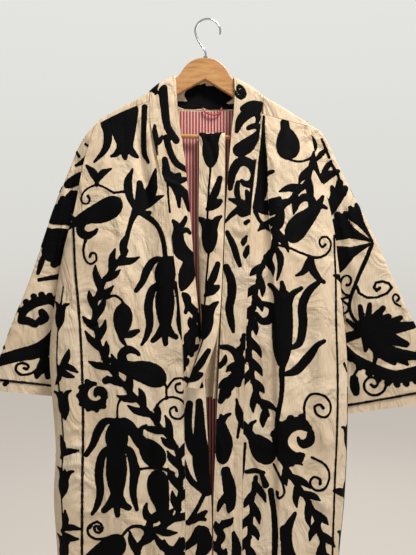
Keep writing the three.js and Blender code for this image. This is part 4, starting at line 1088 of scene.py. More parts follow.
LEFT_NEEDLEWORK = [
    # Along the band, where the motifs of the band run over its seam.
    [(116, -206, 3), (114, -256, 4.5), (112, -300, 7), (110, -350, 9), (102, -396, 9)],
    [(112, -334, 4), (122, -326, 5), (134, -322, 4)], [(104, -396, 8), (124, -386, 7), (148, -378, 4)],
    [(98, -404, 5), (108, -424, 4), (128, -446, 5)], [(106, -398, 7), (128, -404, 9), (148, -398, 5)],
    *placed(POMEGRANATE[:1], 164, -292, 1.0, -6),
    [(160, -290, 3), (176, -300, 2.6), (196, -300, 2.6), (216, -292, 3)],
    *vine([(222, -282), (214, -306), (206, -340), (176, -374), (148, -404), (136, -440), (140, -472)],
        leaf=47, width=8),
    *placed(BUD, 172, -466, 0.92, -12, flip=True),
    [(130, -474, 3), (160, -478, 2.8), (196, -492, 3), (226, -500, 3), (248, -490, 2.8), (256, -472, 2.6),
     (248, -458, 2.6), (236, -458, 2.6), (230, -468, 2.6), (236, -478, 2.8), (243, -473, 3.4)],
    *placed(FORK, 210, -500, 0.95, 178, flip=True),
    [(138, -478, 4), (148, -500, 7), (147, -522, 5), (141, -546, 2.5)],
    *placed(TULIP, 151, -726, 1.12, -1), *placed(TULIP_SIDE, 152, -742, 1.12, -2),
    [(150, -726, 6), (149, -780, 4.5), (141, -830, 4), (140, -890, 4)],
    [(198, -834, 3), (198, -800, 2.8), (212, -780, 2.8), (236, -782, 2.8), (250, -798, 2.8), (250, -816, 2.8),
     (238, -826, 2.8), (222, -820, 2.8), (218, -806, 2.8), (228, -800, 3), (235, -807, 3.6)],
    *placed(crescent(34, 7, 250, 13), 180, -872, 1.0, 186, flip=True),
    [(142, -902, 4), (160, -908, 7), (184, -908, 11)],
    [(212, -908, 3), (238, -922, 2.8), (248, -946, 2.8), (238, -970, 2.8), (218, -974, 2.8), (208, -960, 2.8),
     (216, -948, 2.8), (228, -952, 3), (228, -961, 3.6)],
    *vine([(140, -896), (156, -922), (174, -952), (198, -988), (218, -1026), (230, -1070), (238, -1112),
           (236, -1160), (220, -1200), (196, -1236)], leaf=42),
    *placed(S_PETAL, 176, -1020, 1.2, 176), [(154, -1050, 8.5), (156, -1110, 8), (150, -1170, 7),
        (158, -1220, 5)],
    [(286, -720, 4), (296, -736, 3)], [(300, -770, 2.2), (304, -850, 2.2), (300, -940, 2.2),
        (296, -1040, 2.2),
                                      (290, -1140, 2.2), (286, -1230, 2.2)],
    *placed(SMALL_TULIP, 300, -900, 0.9, 4), *placed(SPROUT, 296, -1000, 0.9, 30),
    *placed(SMALL_TULIP, 292, -1120, 0.95, 0), *placed(SPROUT, 288, -1200, 0.9, -20),
    *placed(SMALL_TULIP, 302, -640, 0.95, 0), *placed(SPROUT, 300, -560, 0.9, 30),
    # Between the long fold and the band.
    *vine([(126, -486), (106, -534), (93, -600), (84, -660), (88, -720), (100, -780), (122, -822)], leaf=38),
    [(98, -616, 5), (112, -631, 7), (130, -624, 8), (131, -602, 7), (114, -594, 5)],
    *placed(POMEGRANATE, 124, -916, 0.98, 26),
    [(76, -880, 3), (72, -930, 3), (62, -988, 3)], [(78, -938, 4), (96, -936, 5.5), (114, -940, 4)],
    [(108, -938, 4), (118, -964, 6.5)],
    *vine([(98, -950), (92, -990), (88, -1040), (82, -1090), (84, -1150), (96, -1210)], leaf=37),
    [(134, -922, 2.8), (150, -956, 2.6), (154, -978, 2.6), (142, -988, 2.6), (140, -976, 3.2)],
    [(128, -976, 6), (134, -1020, 5.5), (136, -1070, 5.5), (134, -1130, 5)],
]
print(len(RIGHT_NEEDLEWORK), "and", len(LEFT_NEEDLEWORK), "strokes on the fronts")

# %% Layout of the bands
RIGHT_BAND_WORK = [
    # Over the shoulder, in the band's own length measured up from the chest.
    [(-92, -150, 9), (-90, -190, 8), (-84, -228, 7.5), (-66, -256, 7)],
    [(-60, -110, 6), (-82, -96, 9), (-104, -80, 8)],
    *placed(crescent(17, 5, 230, 8), -88, -48, 1.0, 30), [(-100, 0, 9), (-84, 30, 12), (-76, 60, 10)],
    *placed(SPROUT, -106, -150, 0.9, 12), *placed(SMALL_TULIP, -84, 62, 1.1, 10),
    *placed(THREE_LEAF, -108, -286, 1.0, 4),
    [(-86, -250, 6.5), (-80, -276, 6.5), (-67, -302, 6.5), (-44, -318, 5.5)],
    [(-90, -296, 6), (-88, -306, 7), (-84, -330, 9), (-66, -352, 9), (-48, -368, 8), (-38, -398, 6)],
    [(-86, -318, 4), (-64, -338, 8), (-44, -336, 4)], [(-72, -346, 7), (-62, -372, 6), (-60, -394, 3.5)],
    [(-82, -336, 7), (-60, -328, 5)], [(-84, -344, 2.6), (-82, -376, 2.4), (-79, -406, 2.4)],
    [(-72, -424, 4), (-63, -438, 8), (-62, -470, 13), (-52, -490, 14), (-34, -500, 10)],
    [(-62, -442, 6), (-50, -426, 5.5), (-46, -416, 4)], [(-60, -448, 7), (-46, -442, 5.5), (-38, -448, 4)],
    [(-38, -516, 14), (-44, -536, 15), (-50, -554, 10), (-54, -566, 4)],
    [(-50, -576, 5), (-44, -584, 8), (-42, -600, 6), (-46, -613, 4)],
    *vine([(-62, -748), (-54, -716), (-40, -686), (-30, -650), (-26, -608)], 15, 26, 5),
    [(-46, -748, 5), (-34, -756, 5.5), (-20, -752, 4)], [(-18, -744, 3), (-14, -764, 5)],
    [(-60, -698, 4), (-54, -716, 9), (-56, -742, 4)], [(-74, -722, 3), (-62, -726, 7), (-50, -728, 5)],
    [(-30, -646, 6), (-38, -672, 11), (-34, -700, 5)], [(-14, -620, 4), (-16, -650, 7), (-12, -680, 3)],
    [(-38, -800, 7), (-42, -840, 8.5), (-36, -884, 8), (-22, -912, 3.5)],
    [(-18, -796, 7), (-17, -840, 10), (-16, -884, 14), (-8, -924, 20), (0, -954, 19), (-2, -976, 10)],
    [(-50, -912, 3.5), (-38, -950, 6), (-10, -978, 5)], [(-6, -980, 4.5), (-20, -1008, 4.5), (-36, -1034, 5)],
    [(-40, -1040, 6), (-20, -1030, 7), (-6, -1034, 4)], [(-24, -1030, 5), (-12, -1024, 6), (-4, -1018, 4)],
    *placed(FORK, -18, -1050, 1.0, 170), [(-10, -1060, 12), (-6, -1084, 14), (-18, -1108, 8)],
    *vine([(-22, -1250), (-28, -1200), (-16, -1150), (-20, -1110)], 16, 24),
    *placed(SPROUT, -44, -1150, 0.8, 20),
]
LEFT_BAND_WORK = [
    *placed(spiral(13, 1.4, 1, 200, 3), 66, -160), [(60, -236, 5), (68, -214, 9), (84, -198, 11),
        (104, -186, 12)],
    [(72, -190, 6), (90, -180, 8), (108, -172, 7)], [(96, -190, 8), (104, -206, 6), (102, -220, 4)],
    *placed(crescent(13, 5, 240, 6), 84, -80, 1.0, -20), [(62, -108, 7), (84, -104, 8), (104, -114, 6)],
    [(66, -276, 13), (80, -268, 14), (94, -254, 10), (106, -240, 7), (106, -228, 6), (96, -226, 6),
     (84, -230, 5)],
    [(60, -300, 6), (52, -318, 8), (48, -340, 7), (46, -356, 5)],
    [(52, -322, 8), (62, -304, 9), (78, -300, 9), (92, -310, 9), (98, -328, 9), (90, -346, 8), (76, -346, 6),
     (70, -340, 4)],
    [(98, -300, 5), (100, -340, 9), (94, -380, 10)], [(88, -400, 9), (66, -386, 8), (44, -378, 3)],
    [(86, -396, 8), (84, -376, 7), (80, -362, 4)], [(90, -398, 7), (68, -398, 7), (48, -412, 5),
        (36, -426, 3)],
    [(88, -402, 8), (72, -410, 6), (64, -408, 4)], [(62, -344, 5), (60, -366, 6), (66, -384, 4)],
    [(84, -424, 4), (78, -428, 5)],
    [(40, -448, 5), (52, -474, 6.5), (60, -500, 6), (66, -516, 4.5)],
    [(38, -520, 7), (48, -548, 8.5), (49, -576, 8.5), (44, -604, 8), (48, -632, 7), (52, -652, 4)],
    [(80, -456, 3), (74, -466, 6), (72, -474, 3)], *placed(spiral(9, 1.2, 1, 110, 2.4), 86, -484),
    [(82, -480, 5), (78, -492, 6), (77, -500, 3)],
    [(28, -684, 5), (44, -686, 6), (58, -700, 7), (66, -730, 8), (62, -760, 6)],
    *vine([(74, -660), (64, -710), (50, -742), (36, -770)], 16, 26, 5),
    [(24, -724, 5), (34, -712, 6), (36, -702, 3)], [(26, -794, 6), (38, -768, 11), (56, -746, 11),
        (78, -734, 8)],
    [(84, -690, 4), (92, -716, 8), (106, -736, 5)], [(60, -800, 4), (64, -820, 8), (72, -846, 5)],
    [(22, -846, 14), (32, -880, 17), (30, -908, 12)], [(26, -842, 6), (36, -826, 5), (46, -820, 3)],
    [(28, -838, 6), (26, -824, 4)], [(58, -790, 3), (66, -826, 4), (60, -868, 3)],
    [(36, -936, 9), (44, -972, 12), (46, -1004, 9), (42, -1016, 4)],
    [(38, -980, 4), (26, -1000, 6), (20, -1016, 3)],
    [(52, -1060, 4), (58, -1090, 9), (54, -1120, 8), (44, -1150, 4)],
    *vine([(40, -1240), (36, -1190), (28, -1140), (22, -1080), (30, -1040)], 16, 25),
]
print(len(RIGHT_BAND_WORK), "and", len(LEFT_BAND_WORK), "strokes on the bands")

# %% Layout of the sleeves, the back and the inside of the neck
LEFT_SLEEVE_WORK = [
    [(238, -252, 3), (254, -290, 3)], [(232, -342, 9), (246, -330, 10), (274, -318, 4)],
    [(214, -284, 3), (220, -268, 8), (214, -250, 6), (204, -242, 3)],
    [(222, -300, 3), (236, -284, 6), (248, -272, 3)],
    [(240, -320, 4), (252, -306, 6), (258, -298, 3)], [(256, -300, 3), (270, -322, 3), (278, -344, 3)],
    [(248, -414, 7), (262, -386, 12), (276, -362, 12)], [(262, -376, 6), (260, -352, 5)],
    [(272, -366, 7), (276, -342, 7)], [(282, -366, 7), (288, -354, 6)], [(250, -396, 6), (244, -374, 5)],
    *placed(wedge(84, 14), 346, -464, 1.0, 35), *placed(wedge(94, 21), 346, -466, 1.0, 68),
    *placed(wedge(96, 21), 346, -468, 1.0, 114),
    [(345, -470, 4), (330, -508, 4.5), (312, -552, 4), (301, -594, 3.5), (306, -622, 3.5), (322, -644, 4)],
    [(314, -560, 3), (319, -574, 3), (335, -583, 3), (356, -583, 3), (376, -574, 3), (386, -562, 3),
     (379, -553, 3), (366, -549, 3), (353, -552, 3), (349, -562, 3), (355, -569, 3.2), (361, -563, 3.8)],
    [(300, -580, 3), (288, -574, 2.6), (281, -560, 2.6), (284, -543, 2.6), (294, -537, 2.6), (302, -544, 2.6),
     (300, -556, 2.8), (294, -557, 3.4)],
    [(302, -582, 3), (285, -588, 2.6), (298, -600, 2.6), (296, -614, 2.6), (284, -618, 2.6), (277, -609, 2.6),
     (282, -601, 2.8), (287, -605, 3.4)],
    [(404, -601, 2.6), (392, -594, 2.4), (388, -582, 2.4), (395, -576, 2.4), (402, -584, 2.6),
     (397, -590, 3)],
    [(328, -656, 8), (312, -645, 6), (297, -632, 4)], [(328, -656, 8), (310, -664, 9), (290, -672, 10)],
    [(330, -652, 6), (325, -625, 6), (321, -602, 5)], [(332, -652, 6), (338, -625, 7), (341, -598, 5)],
    [(334, -654, 7), (350, -628, 8), (368, -606, 6)], [(336, -654, 8), (360, -635, 10), (379, -624, 7)],
    [(336, -656, 8), (372, -643, 10), (405, -625, 5)], [(340, -658, 8), (390, -648, 11), (436, -640, 7)],
    [(338, -658, 9), (378, -668, 12), (416, -681, 7)], [(334, -658, 9), (358, -690, 12), (382, -712, 9),
        (394, -723, 4)],
    [(345, -675, 8), (390, -700, 12), (436, -706, 8)], [(358, -690, 8), (354, -712, 5), (352, -725, 3)],
    [(385, -708, 8), (408, -716, 7), (420, -724, 4)], [(330, -660, 7), (335, -680, 7), (334, -696, 4)],
    [(290, -690, 8), (302, -703, 8), (320, -718, 9), (340, -729, 10), (364, -741, 11), (394, -750, 12),
     (430, -744, 13), (458, -730, 11), (474, -710, 6)],
    *[[(x, z, 6.5), (x + 1, z - 1, 6.5)] for x, z in (
        (304, -714), (322, -731), (341, -744), (360, -756), (379, -763), (398, -766), (417, -764),
        (437, -758))],
    [(322, -730, 3), (314, -746, 3), (311, -755, 4)], [(312, -758, 8), (314, -774, 9), (316, -787, 7)],
    [(377, -764, 3), (372, -781, 3), (360, -790, 3), (345, -790, 3), (334, -779, 3), (334, -764, 3),
     (344, -753, 3),
     (356, -756, 3), (360, -766, 3), (354, -774, 3.2), (347, -769, 3.8)],
    *placed(spiral(15, 1.6, 1, 200), 452, -690), *placed(SPROUT, 436, -604, 0.9, -30),
]
RIGHT_SLEEVE_WORK = [
    [(-278, -306, 3), (-262, -299, 6), (-244, -286, 6)],
    [(-294, -346, 8), (-276, -337, 12), (-256, -332, 12)],
    [(-256, -262, 3), (-244, -272, 3)], [(-276, -278, 3), (-270, -288, 3.5)],
    *placed(wedge(86, 20), -256, -446, 1.0, 20), *placed(wedge(82, 20), -258, -446, 1.0, 54),
    [(-266, -444, 3), (-300, -447, 8), (-322, -446, 8), (-332, -449, 3)],
    *placed(wedge(84, 22), -266, -454, 1.0, 118), *placed(wedge(86, 15), -264, -452, 1.0, 92),
    [(-346, -494, 4), (-351, -510, 6), (-358, -532, 4)], [(-356, -546, 4), (-334, -542, 5), (-308, -538, 6)],
    [(-394, -630, 7), (-388, -612, 8), (-372, -598, 9), (-352, -590, 9), (-334, -589, 9), (-321, -600, 8),
     (-316, -622, 6)],
    *[[(x, z, 6), (x + 1, z, 6)] for x, z in (
        (-396, -610), (-384, -592), (-368, -581), (-352, -577), (-336, -579), (-322, -585))],
    [(-394, -632, 7), (-380, -633, 8), (-366, -640, 7)], [(-352, -614, 7), (-347, -626, 9), (-356, -634, 8)],
    [(-318, -620, 5), (-321, -648, 9), (-335, -676, 13), (-364, -697, 14), (-400, -705, 12),
     (-440, -716, 11)],
    [(-352, -720, 3), (-362, -734, 3), (-374, -744, 3), (-392, -747, 3), (-404, -740, 3), (-405, -728, 3),
     (-394, -722, 3), (-381, -727, 3), (-383, -735, 3.2), (-389, -733, 3.8)],
    [(-348, -720, 10), (-358, -738, 8), (-364, -752, 5)], [(-348, -722, 9), (-342, -740, 8), (-342, -753, 6)],
    [(-344, -720, 9), (-330, -738, 8), (-323, -751, 5)], [(-348, -714, 8), (-352, -702, 5)],
    [(-340, -718, 5), (-325, -716, 5), (-312, -716, 3)], [(-424, -762, 5), (-428, -766, 5)],
    *placed(THREE_LEAF, -430, -690, 0.8, 30), *placed(wedge(70, 15), -300, -640, 1.0, -150),
    *placed(spiral(15, 1.6, 1, 30), -290, -750), *placed(FORK, -290, -700, 0.9, 120),
]


def mirrored(strokes, axis=-10, size=0.985):
    """The motifs and their near copies on the other side of the back's middle."""
    return strokes + [
        np.array(points, float) * [-1, 1, size] + [2 * axis + 3 * math.sin(k), 4 * math.sin(0.7 * k), 0]
        for k, points in [(n // 6, p) for n, p in enumerate(strokes)]
    ]


BACK_WORK = [
    *placed(TULIP, -10, -420, 1.15), *placed(LILY, -10, -500, 1.35, OVER), [(-10, -430, 6), (-13, -500, 6)],
    *placed(PALMETTE, -10, -790, 1.25, 6), *vine([(-10, -1246), (-22, -1130), (-2, -1010), (-12, -880),
        (-10, -800)]),
    *mirrored([
        *placed(TULIP_SIDE, -2, -436, 1.15), [(0, -470, 5), (46, -452, 4.5), (84, -462, 4.5), (98, -494, 5)],
        *placed(LILY, 98, -492, 0.95, OVER), *placed(POMEGRANATE, 118, -384, 1.1, -14),
        [(98, -470, 3), (108, -420, 3), (116, -388, 3)], *placed(TULIP, 150, -350, 0.85, 4),
        [(150, -352, 4), (158, -420, 4), (150, -470, 4)], *placed(SPROUT, 208, -300, 0.9, 30),
        *placed(BUD, 190, -420, 1.0, -20, flip=True), *placed(spiral(20, 1.4, 1, 160), 216, -348),
        *vine([(70, -1246), (110, -1160), (168, -1100), (196, -1010), (176, -920), (120, -850), (92, -770),
               (120, -690), (176, -640), (196, -560), (160, -490)], leaf=36, width=7.5),
        *placed(POMEGRANATE, 42, -760, 1.0, 40), *placed(crescent(28, width=11), 212, -790, 1.0, 170),
        *placed(spiral(22, 1.4, -1, 100), 66, -700), *placed(LILY, 108, -930, 1.05, OVER, flip=True),
        [(120, -870, 3.5), (104, -890, 3.5), (106, -926, 4)], *placed(BUD, 30, -920, 1.0, -20, flip=True),
        *placed(BUD, 216, -900, 0.95, 20), *placed(spiral(20, 1.4, 1, 20), 224, -978),
        *placed(POMEGRANATE, 226, -640, 0.9, -10), *placed(FORK, 150, -610, 1.1, 170),
        *placed(SMALL_TULIP, 214, -1120, 1.2, 10), *placed(crescent(22, width=9), 214, -1190, 1.0, 30),
        *placed(POMEGRANATE, 40, -1150, 0.9, -30), *placed(SPROUT, 140, -1200, 1.0, 180),
        *placed(THREE_LEAF, 36, -1040, 1.1, -20), *placed(THREE_LEAF, 226, -520, 0.9, 10),
        *placed(SMALL_TULIP, 60, -262, 1.2, 6), *placed(SPROUT, 110, -250, 1.1, -10),
        *placed(spiral(17, 1.3, 1, 0), 44, -318), *placed(SMALL_TULIP, 180, -262, 1.1, -14),
        *placed(SMALL_TULIP, 288, -640, 0.95), *placed(SPROUT, 286, -730, 0.9, 30),
        *placed(SMALL_TULIP, 288, -830, 1.0),
        *placed(SPROUT, 286, -930, 0.9, -30), *placed(SMALL_TULIP, 286, -1030, 1.0),
        *placed(SPROUT, 286, -1130, 0.9),
        *placed(SMALL_TULIP, 282, -1220, 0.9), [(288, -570, 2), (290, -800, 2), (286, -1000, 2),
            (282, -1240, 2)],
    ]),
]
BACK_SLEEVE_WORK = [
    *placed(wedge(78, 18), 300, -430, 1.0, 52), *placed(wedge(78, 18), 300, -430, 1.0, 92),
    *placed(wedge(78, 18), 300, -432, 1.0, 12), *placed(crescent(30, width=11), 330, -560, 1.0, 40),
    *placed(LILY, 350, -620, 0.8, OVER + 24), *vine([(310, -800), (330, -730), (380, -690), (410, -640)]),
    *placed(spiral(16, 1.6, 1, 0), 420, -740), *placed(POMEGRANATE, 300, -700, 0.9, 10),
]
NECK_WORK = {
    "right": [[(-90, -8, 20), (-92, -34, 18), (-86, -54, 12)],
        [(-110, -24, 7), (-112, -52, 7), (-108, -70, 3)]],
    "left": [[(84, -16, 18), (86, -44, 18), (80, -72, 13), (74, -94, 7)],
        [(104, -30, 7), (108, -62, 6), (104, -86, 3)]],
}
print(len(LEFT_SLEEVE_WORK), len(RIGHT_SLEEVE_WORK), "and", len(BACK_WORK),
    "strokes on the sleeves and the back")

# %% [markdown]
# ## Finishes
# Every finish is procedural. Cloth and thread read their own flat pattern (the layer "flat", in
# metres), so the weave follows a panel through its folds.


# %% Node helpers
def linear(code):
    """An sRGB colour such as "E9D5B5" as the linear values a shader takes."""
    parts = [int(code[k:k + 2], 16) / 255 for k in (0, 2, 4)]
    return tuple(v / 12.92 if v <= 0.04045 else ((v + 0.055) / 1.055) ** 2.4 for v in parts) + (1.0,)


def finish_named(name):
    material = bpy.data.materials.new(name)
    material.use_nodes = True
    nodes = material.node_tree.nodes
    return material, material.node_tree, nodes["Principled BSDF"]


def add(tree, kind, inputs=None, **settings):
    """One node with its settings, and each input either a value or a socket to link from."""
    node = tree.nodes.new(kind)
    for key, value in settings.items():
        setattr(node, key, value)
    for key, value in (inputs or {}).items():
        if isinstance(value, bpy.types.NodeSocket):
            tree.links.new(value, node.inputs[key])
        else:
            node.inputs[key].default_value = value
    return node


def sockets(shader, **values):
    for key, value in values.items():
        shader.inputs[key.replace("_", " ")].default_value = value


def flat_pattern(tree):
    return add(tree, "ShaderNodeUVMap", uv_map="flat").outputs["UV"]


def paint(tree, shader, colour):
    tree.links.new(colour, shader.inputs["Base Color"])


def raise_surface(tree, shader, height, strength, distance, **more):
    bump = add(tree, "ShaderNodeBump", {"Height": height, "Strength": strength, "Distance": distance, **more})
    tree.links.new(bump.outputs["Normal"], shader.inputs["Normal"])


def ramp(tree, factor, stops):
    node = add(tree, "ShaderNodeValToRGB", {"Fac": factor})
    elements = node.color_ramp.elements
    while len(elements) < len(stops):
        elements.new(0.5)
    for element, (at, code) in zip(elements, stops):
        element.position, element.color = at, linear(code)
    return node.outputs["Color"]


# %% [markdown]
# **Embroidered cotton.** Handwoven, unbleached cotton, drawn 1.6 mm thick: plain weave,
# uneven yarns, soft and matt, a little crumpled, with the yellow-beige of age in broad clouds. The real
# yarns are 0.6 mm apart, too fine for a whole garment's picture, so the weave is drawn six times coarser.

# %% Embroidered cotton
WEAVE_SCALE = 88.0  # a wave repeats every 2 pi / 20 / scale metres, here 3.6 mm
COTTON, tree, shader = finish_named("Handwoven unbleached cotton, plain weave")
flat_uv = flat_pattern(tree)
clouds = add(tree, "ShaderNodeTexNoise", {"Vector": flat_uv, "Scale": 7.0, "Detail": 4.0, "Roughness": 0.55})
slub = add(tree, "ShaderNodeMapping", {"Vector": flat_uv, "Scale": (900.0, 60.0, 1.0)})
slubs = add(tree, "ShaderNodeTexNoise", {"Vector": slub.outputs["Vector"], "Scale": 1.0, "Detail": 2.0})
tone = ramp(tree, clouds.outputs["Fac"], [(0.3, "DEC9AC"), (0.5, "E8D5BA"), (0.72, "EFE0C8")])
yarns = ramp(tree, slubs.outputs["Fac"], [(0.3, "D9D3CB"), (0.65, "FFFFFF")])
colour = add(tree, "ShaderNodeMix", {"Factor": 0.6}, data_type="RGBA", blend_type="MULTIPLY")
for value, socket in zip((tone, yarns), [s for s in colour.inputs if s.type == "RGBA"]):
    tree.links.new(value, socket)
paint(tree, shader, [s for s in colour.outputs if s.type == "RGBA"][0])
warp, weft = (
    add(tree, "ShaderNodeTexWave", {
        "Vector": flat_uv, "Scale": WEAVE_SCALE, "Distortion": 1.2, "Detail": 1.0, "Detail Scale": 1.0,
    }, bands_direction=way).outputs["Fac"] for way in "XY"
)
woven = add(tree, "ShaderNodeMath", {0: warp, 1: weft}, operation="MAXIMUM")
pulled = add(tree, "ShaderNodeMapping", {"Vector": flat_uv, "Scale": (1.0, 0.6, 1.0),
    "Rotation": (0, 0, 0.5)})
crumple = add(tree, "ShaderNodeTexNoise", {"Vector": pulled.outputs["Vector"], "Scale": 17.0, "Detail": 3.0,
                                           "Roughness": 0.5, "Distortion": 1.2})
rumple = add(tree, "ShaderNodeBump", {"Height": crumple.outputs["Fac"], "Strength": 1.0, "Distance": 0.016})
raise_surface(tree, shader, woven.outputs[0], 0.35, 0.0006, Normal=rumple.outputs["Normal"])
sockets(shader, Roughness=0.92, Sheen_Weight=0.25, Sheen_Roughness=0.5, Specular_IOR_Level=0.2)
shader.inputs["Sheen Tint"].default_value = linear("F4E6CF")
print(COTTON.name, "weave drawn", round(1000 * 2 * math.pi / 20 / WEAVE_SCALE, 1), "mm apart")

# %% [markdown]
# **Black couching.** The flowers are filled with a lustrous black thread laid side by side and caught
# down: rows that follow the outline, about 1.5 mm apart, drawn at twice that. The rows come from each
# point's distance to the outline, kept on the mesh as "inset".

# %% Black couching
ROW_PITCH = 3.0  # mm
THREAD, tree, shader = finish_named("Black couched thread")
flat_uv = flat_pattern(tree)
inset = add(tree, "ShaderNodeAttribute", attribute_name="inset", attribute_type="GEOMETRY").outputs["Fac"]
phase = add(tree, "ShaderNodeMath", {0: inset, 1: 2 * math.pi / ROW_PITCH}, operation="MULTIPLY")
row = add(tree, "ShaderNodeMath", {0: phase.outputs[0]}, operation="SINE")
twist = add(tree, "ShaderNodeTexNoise", {"Vector": flat_uv, "Scale": 420.0, "Detail": 2.0})
height = add(tree, "ShaderNodeMath", {0: twist.outputs["Fac"], 1: 1.6, 2: row.outputs[0]},
    operation="MULTIPLY_ADD")
raise_surface(tree, shader, height.outputs[0], 0.4, 0.0007)
worn = add(tree, "ShaderNodeTexNoise", {"Vector": flat_uv, "Scale": 16.0, "Detail": 4.0})
paint(tree, shader, ramp(tree, worn.outputs["Fac"], [(0.35, "000001"), (0.6, "020204"), (0.8, "07070A")]))
sockets(shader, Roughness=0.68, Specular_IOR_Level=0.09)
print(THREAD.name, "in rows", ROW_PITCH, "mm apart")

# %% [markdown]
# **Striped lining.** Thin printed or woven cotton in brick red with pale stripes that run down the coat.

# %% Striped lining
STRIPE_REPEAT = 0.0065  # metres
LINING_CLOTH, tree, shader = finish_named("Thin striped cotton, brick red and white")
flat_uv = flat_pattern(tree)
part = add(tree, "ShaderNodeSeparateXYZ", {0: flat_uv}).outputs["X"]
turns = add(tree, "ShaderNodeMath", {0: part, 1: 1 / STRIPE_REPEAT}, operation="MULTIPLY")
share = add(tree, "ShaderNodeMath", {0: turns.outputs[0]}, operation="FRACT")
stripe = ramp(tree, share.outputs[0], [
    (0.0, "A63B3E"), (0.36, "AA4244"), (0.44, "D8C6C1"), (0.62, "DFD2CC"), (0.68, "B05453"), (0.78, "D5BDB8"),
    (0.88, "A63B3E"),
])
paint(tree, shader, stripe)
sockets(shader, Roughness=0.85, Sheen_Weight=0.15, Specular_IOR_Level=0.2)
print(LINING_CLOTH.name, "repeats every", 1000 * STRIPE_REPEAT, "mm")

# %% [markdown]
# **Cord, beech and chromed wire.** The loop is a plied cotton cord in a faded pink red. The hanger is
# lathe-turned and shaped beech under a satin varnish, with the grain along its arms, and its hook is
# bent steel wire, bright chromed.

# %% Cord, beech, wire and sewing thread
CORD_COTTON, tree, shader = finish_named("Plied cotton cord, pink red")
place = flat_pattern(tree)
plies = add(tree, "ShaderNodeTexWave", {"Vector": place, "Scale": 110.0, "Distortion": 0.6},
            bands_direction="DIAGONAL")
# The colour follows the bump's wave: darker in the grooves between the plies, a painted shade, and lighter on
# their crowns.
paint(tree, shader, ramp(tree, plies.outputs["Fac"], [(0.2, "9E3038"), (0.7, "CC5A5E")]))
raise_surface(tree, shader, plies.outputs["Fac"], 0.8, 0.0006)
sockets(shader, Roughness=0.8, Sheen_Weight=0.3)

BEECH, tree, shader = finish_named("Beech, satin varnish, grain along the arms")
place = add(tree, "ShaderNodeTexCoord").outputs["Object"]
along = add(tree, "ShaderNodeMapping", {"Vector": place, "Scale": (9.0, 60.0, 60.0)})
grain = add(tree, "ShaderNodeTexNoise", {"Vector": along.outputs["Vector"], "Scale": 2.2, "Detail": 6.0,
                                         "Distortion": 0.4})
flecks = add(tree, "ShaderNodeMapping", {"Vector": place, "Scale": (160.0, 900.0, 900.0)})
fleck = add(tree, "ShaderNodeTexNoise", {"Vector": flecks.outputs["Vector"], "Scale": 1.0, "Detail": 1.0})
mixed = add(tree, "ShaderNodeMath", {0: fleck.outputs["Fac"], 1: 0.3, 2: grain.outputs["Fac"]},
            operation="MULTIPLY_ADD")
paint(tree, shader, ramp(tree, mixed.outputs[0], [(0.45, "A87445"), (0.62, "BD8A56"), (0.82, "CC9C68")]))
sockets(shader, Roughness=0.42, Coat_Weight=0.25, Coat_Roughness=0.25)

CHROME, tree, shader = finish_named("Steel wire, bright chromed")
sockets(shader, Metallic=1.0, Roughness=0.16)
shader.inputs["Base Color"].default_value = linear("DADBDD")

SEWING, tree, shader = finish_named("Cream cotton sewing thread")
shader.inputs["Base Color"].default_value = linear("D8C29C")
sockets(shader, Roughness=0.8, Sheen_Weight=0.2)
print(len(bpy.data.materials), "finishes")

# %% [markdown]
# ## Cloth
# Each panel becomes two pieces: the cotton shell and the needlework on it. The shells stand for their
# CAD panels, so the panels' own solids aren't shown.

# %% Panels
EVERY_SECOND = (slice(None, None, 2), slice(None, None, 2))
NECK_ROWS = 56
PIECES = {}
WORK = {
    "front_right": RIGHT_NEEDLEWORK, "front_left": LEFT_NEEDLEWORK, "band_right": RIGHT_BAND_WORK,
    "band_left": LEFT_BAND_WORK, "back": BACK_WORK,
}
SLEEVE_WORK = {"sleeve_right": RIGHT_SLEEVE_WORK, "sleeve_left": LEFT_SLEEVE_WORK}
for name, (points, out, flat) in panels.items():
    thickness = BAND if "band" in name else CLOTH
    has = back_has[EVERY_SECOND] if name == "back" else None
    PIECES[name] = shell(
        f"{name}_cotton", *(grid[EVERY_SECOND] for grid in (points, out, flat)), thickness, COTTON, has,
        closed="sleeve" in name,
    )
    if name in SLEEVE_WORK:
        layer = points.shape[1] // 2
        behind = np.concatenate([flat[:, layer:], flat[:, :1]], axis=1) * [SIDES[name[7:]]["way"], 1]
        halves = [stitched(flat[:, :layer], SLEEVE_WORK[name]), stitched(behind, BACK_SLEEVE_WORK)]
        inside = np.concatenate(halves, 1)
        ring = [np.concatenate([grid, grid[:, :1]], axis=1) for grid in (points, out, flat)]
    else:
        inside, ring = stitched(flat, WORK[name]), (points, out, flat)
    if name == "back":
        inside[:-1, :-1][~back_has] = OUTSIDE
    PIECES[f"{name}_work"] = inlay(f"{name}_needlework", *ring, inside, THREAD)
for name, strokes in NECK_WORK.items():
    points, out, flat = (grid[:NECK_ROWS] for grid in panels[f"band_{name}"])
    PIECES[f"neck_{name}"] = inlay(
        f"neck_{name}_needlework", points - out * BAND, -out, flat, stitched(flat, strokes), THREAD,
    )
print(sum(len(o.data.polygons) for o in PIECES.values()), "faces")

# %% [markdown]
# ## Rows of stitches
# Two kinds of stitch follow lines that a needle would: the black chain stitch of the borders and cuffs,
# whose links are laid every 4.4 mm, and the cream running stitch that holds the band's edges down. A small
# node tree lays one link or stitch at every step of a line, faces it outwards and turns it along the line,
# a little unevenly, as by hand.


